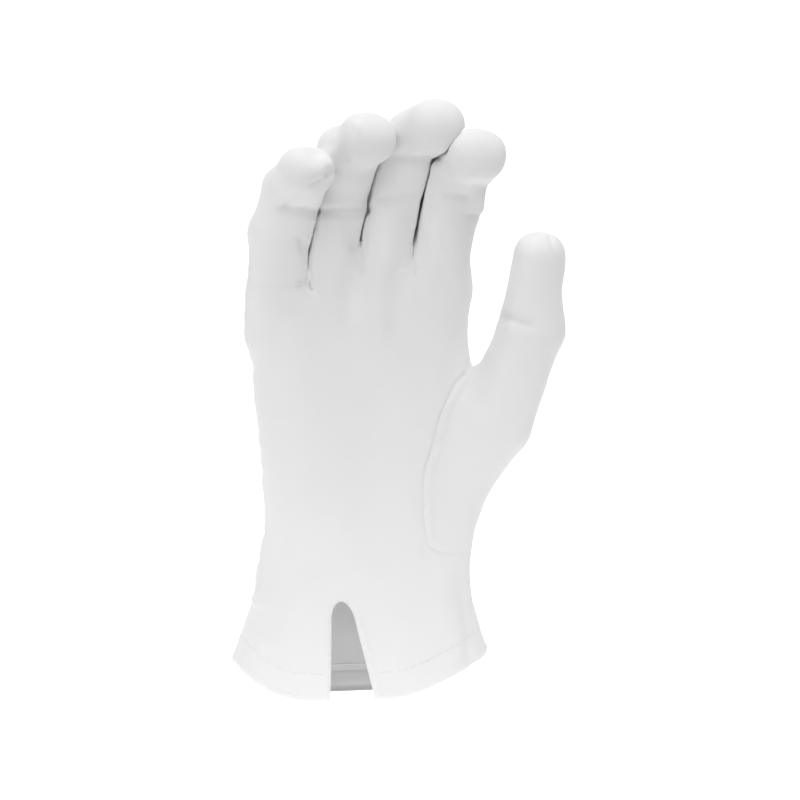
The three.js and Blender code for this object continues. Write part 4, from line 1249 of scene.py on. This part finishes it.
def cloth_material(name, pitch, depth, tone, sheen):
    if name in bpy.data.materials:
        return bpy.data.materials[name]
    material, shader = new_material(name)
    nodes, links = material.node_tree.nodes, material.node_tree.links
    give(shader, Sheen_Weight=sheen, Sheen_Roughness=0.6, Specular_IOR_Level=0.25)
    place = nodes.new("ShaderNodeUVMap")
    place.uv_map = "cloth"
    knit = nodes.new("ShaderNodeGroup")
    knit.node_tree = knit_group()
    give(knit, Pitch=pitch, Tone=(*tone, 1.0))
    bump = nodes.new("ShaderNodeBump")
    give(bump, Distance=depth, Strength=1.0)
    links.new(place.outputs["UV"], knit.inputs["Vector"])
    links.new(knit.outputs["Height"], bump.inputs["Height"])
    links.new(knit.outputs["Colour"], shader.inputs["Base Color"])
    links.new(knit.outputs["Roughness"], shader.inputs["Roughness"])
    links.new(bump.outputs["Normal"], shader.inputs["Normal"])
    return material


def cotton_material():
    cloth = bpy.context.scene.glove.cloth
    return cloth_material("White cotton knit", cloth.knit, cloth.knit_depth, tuple(cloth.colour), 0.12)


# The wrong side's material: the cloth's colour times the inside share, painted shade for the glove's inside,
# with a little of the wrong side's duller face.
def shaded_inside_material():
    cloth = bpy.context.scene.glove.cloth
    tone = tuple(c * cloth.inside for c in cloth.colour)
    return cloth_material("White cotton, wrong side in painted shade", cloth.knit, cloth.knit_depth, tone, 0.05)


def thread_material():
    return cloth_material("White thread", 0.0003, 0.00005, (0.86, 0.86, 0.86), 0.2)


def stage_material():
    material, shader = new_material("Studio white")
    white = (1.0, 1.0, 1.0, 1.0)
    give(shader, Base_Color=(0.9, 0.9, 0.9, 1.0), Roughness=0.9, Emission_Color=white, Emission_Strength=0.5)
    return material


# ---- Stage ----

STAGE_WIDE, STAGE_NEAR, STAGE_TALL = 3.0, -0.2, 2.4
BEND = 0.6  # how far behind the glove the floor turns up, and the radius of the turn
GLOVE_MIDDLE = (0.0, 0.0, 0.11)
SENSOR = 36.0
LIGHTS = (
    ("key_light", (-0.7, -1.4, 1.3), 1.0, 1.0),
    ("front_light", (0.5, -1.6, 0.9), 0.8, 0.3),
    ("top_light", (0.1, -0.3, 1.5), 1.0, 0.62),
)  # name, place in metres, size and share of the key light's strength


def add_object(name, data):
    thing = bpy.data.objects.new(name, data)
    bpy.context.collection.objects.link(thing)
    return thing


def aim(thing, target):
    way = Vector(target) - thing.location
    thing.rotation_euler = way.to_track_quat("-Z", "Y").to_euler()


def make_floor(drop):
    """The floor, which turns up behind the glove as a backdrop."""
    floor_z = cad_box[0][2] - drop
    profile = [(STAGE_NEAR, 0.0), (-STAGE_NEAR, 0.0), (BEND, 0.0)]
    for t in np.linspace(0.1, math.pi / 2.0, 14):
        profile.append((BEND + BEND * math.sin(t), BEND - BEND * math.cos(t)))
    profile.append((2.0 * BEND, STAGE_TALL))
    points = [(x, y, floor_z + z) for x in (-STAGE_WIDE, STAGE_WIDE) for y, z in profile]
    count = len(profile)
    cells = [(i, i + count, i + count + 1, i + 1) for i in range(count - 1)]
    mesh = bpy.data.meshes.new("studio_floor")
    mesh.from_pydata(points, [], cells)
    mesh.shade_smooth()
    mesh.materials.append(stage_material())
    add_object("studio_floor", mesh)


def make_lights(key, fill):
    world = bpy.data.worlds.new("Studio surround")
    bpy.context.scene.world = world
    world.use_nodes = True
    give(world.node_tree.nodes["Background"], Color=(1.0, 1.0, 1.0, 1.0), Strength=fill)
    for name, spot, size, share in LIGHTS:
        light = bpy.data.lights.new(name, "AREA")
        light.size = size
        light.energy = key * share
        lamp = add_object(name, light)
        lamp.location = spot
        aim(lamp, GLOVE_MIDDLE)


def make_camera():
    lens = bpy.data.cameras.new("photo_camera")
    camera = add_object("photo_camera", lens)
    camera.location = EYE * MM
    aim(camera, CAMERA_TARGET * MM)
    lens.sensor_fit = "HORIZONTAL"
    lens.sensor_width = SENSOR
    lens.lens = SENSOR * CAMERA_DISTANCE / FRAME_SIDE
    lens.shift_x, lens.shift_y = FRAME_SHIFT
    lens.clip_end = 20.0
    bpy.context.scene.camera = camera
    bpy.context.scene.view_settings.view_transform = "Standard"


# ---- Operators ----


class GlovePanels(bpy.types.Operator):
    """Sews the palm and back panels, from the rim to the fingertips."""

    bl_idname = "glove.panels"
    bl_label = "Palm and back"

    def execute(self, context):
        make_panel("palm_cloth", "palm_panel", PALM_FACE)
        make_panel("back_cloth", "back_panel", BACK_FACE)
        return {"FINISHED"}


class GloveGussets(bpy.types.Operator):
    """Sews the strips between the fingers."""

    bl_idname = "glove.gussets"
    bl_label = "Finger gussets"

    def execute(self, context):
        for index, pair in enumerate(("index_middle", "middle_ring", "ring_little")):
            make_gusset(index, f"gusset_cloth_{pair}", f"gusset_{pair}")
        return {"FINISHED"}


class GloveThumb(bpy.types.Operator):
    """Sews the thumb piece into its oval seam."""

    bl_idname = "glove.thumb"
    bl_label = "Thumb"

    def execute(self, context):
        make_thumb_piece()
        return {"FINISHED"}


class GloveCuff(bpy.types.Operator):
    """Turns up the hem inside the rim and backs the vent."""

    bl_idname = "glove.cuff"
    bl_label = "Hem and vent facing"

    def execute(self, context):
        make_hem()
        make_facing()
        share_normals([thing for thing in bpy.data.objects if "outer_points" in thing])
        return {"FINISHED"}


class GloveStitches(bpy.types.Operator):
    """Runs the stitches of the hem and beside the vent."""

    bl_idname = "glove.stitches"
    bl_label = "Stitches"

    def execute(self, context):
        stations = rim_stations(STITCH_STATIONS)
        hem = rim_points(stations, np.full(len(stations), HEM_HEIGHT - HEM_STITCHES))
        make_stitches("hem_stitches", hem)
        make_stitches("vent_stitches", vent_path(VENT_STITCHES))
        return {"FINISHED"}


class GloveStageBuild(bpy.types.Operator):
    """Sets the pale floor with its backdrop, the soft lights and the camera."""

    bl_idname = "glove.stage_build"
    bl_label = "Stage, lights and camera"

    def execute(self, context):
        settings = context.scene.glove.stage
        make_floor(settings.floor_drop)
        make_lights(settings.key, settings.fill)
        make_camera()
        return {"FINISHED"}


class GLOVE_PT_sidebar(bpy.types.Panel):
    bl_label = "Parade glove"
    bl_idname = "GLOVE_PT_sidebar"
    bl_space_type = "VIEW_3D"
    bl_region_type = "UI"
    bl_category = "Glove"

    def draw(self, context):
        for label, group in (("Cloth", "cloth"), ("Seams", "seams"), ("Stage", "stage")):
            box = self.layout.box()
            box.label(text=label)
            settings = getattr(context.scene.glove, group)
            for name in settings.bl_rna.properties.keys():
                if name not in ("rna_type", "name"):
                    box.prop(settings, name)
        for operator in OPERATORS:
            self.layout.operator(operator.bl_idname)


OPERATORS = (GlovePanels, GloveGussets, GloveThumb, GloveCuff, GloveStitches, GloveStageBuild)
CLASSES = (GloveCloth, GloveSeams, GloveStage, GloveSettings, *OPERATORS, GLOVE_PT_sidebar)


def register():
    for cls in CLASSES:
        bpy.utils.register_class(cls)
    bpy.types.Scene.glove = PointerProperty(type=GloveSettings)


def unregister():
    del bpy.types.Scene.glove
    for cls in reversed(CLASSES):
        bpy.utils.unregister_class(cls)


def main():
    register()
    bpy.ops.glove.panels()
    bpy.ops.glove.gussets()
    bpy.ops.glove.thumb()
    bpy.ops.glove.cuff()
    bpy.ops.glove.stitches()
    bpy.ops.glove.stage_build()


if __name__ == "__main__":
    main()
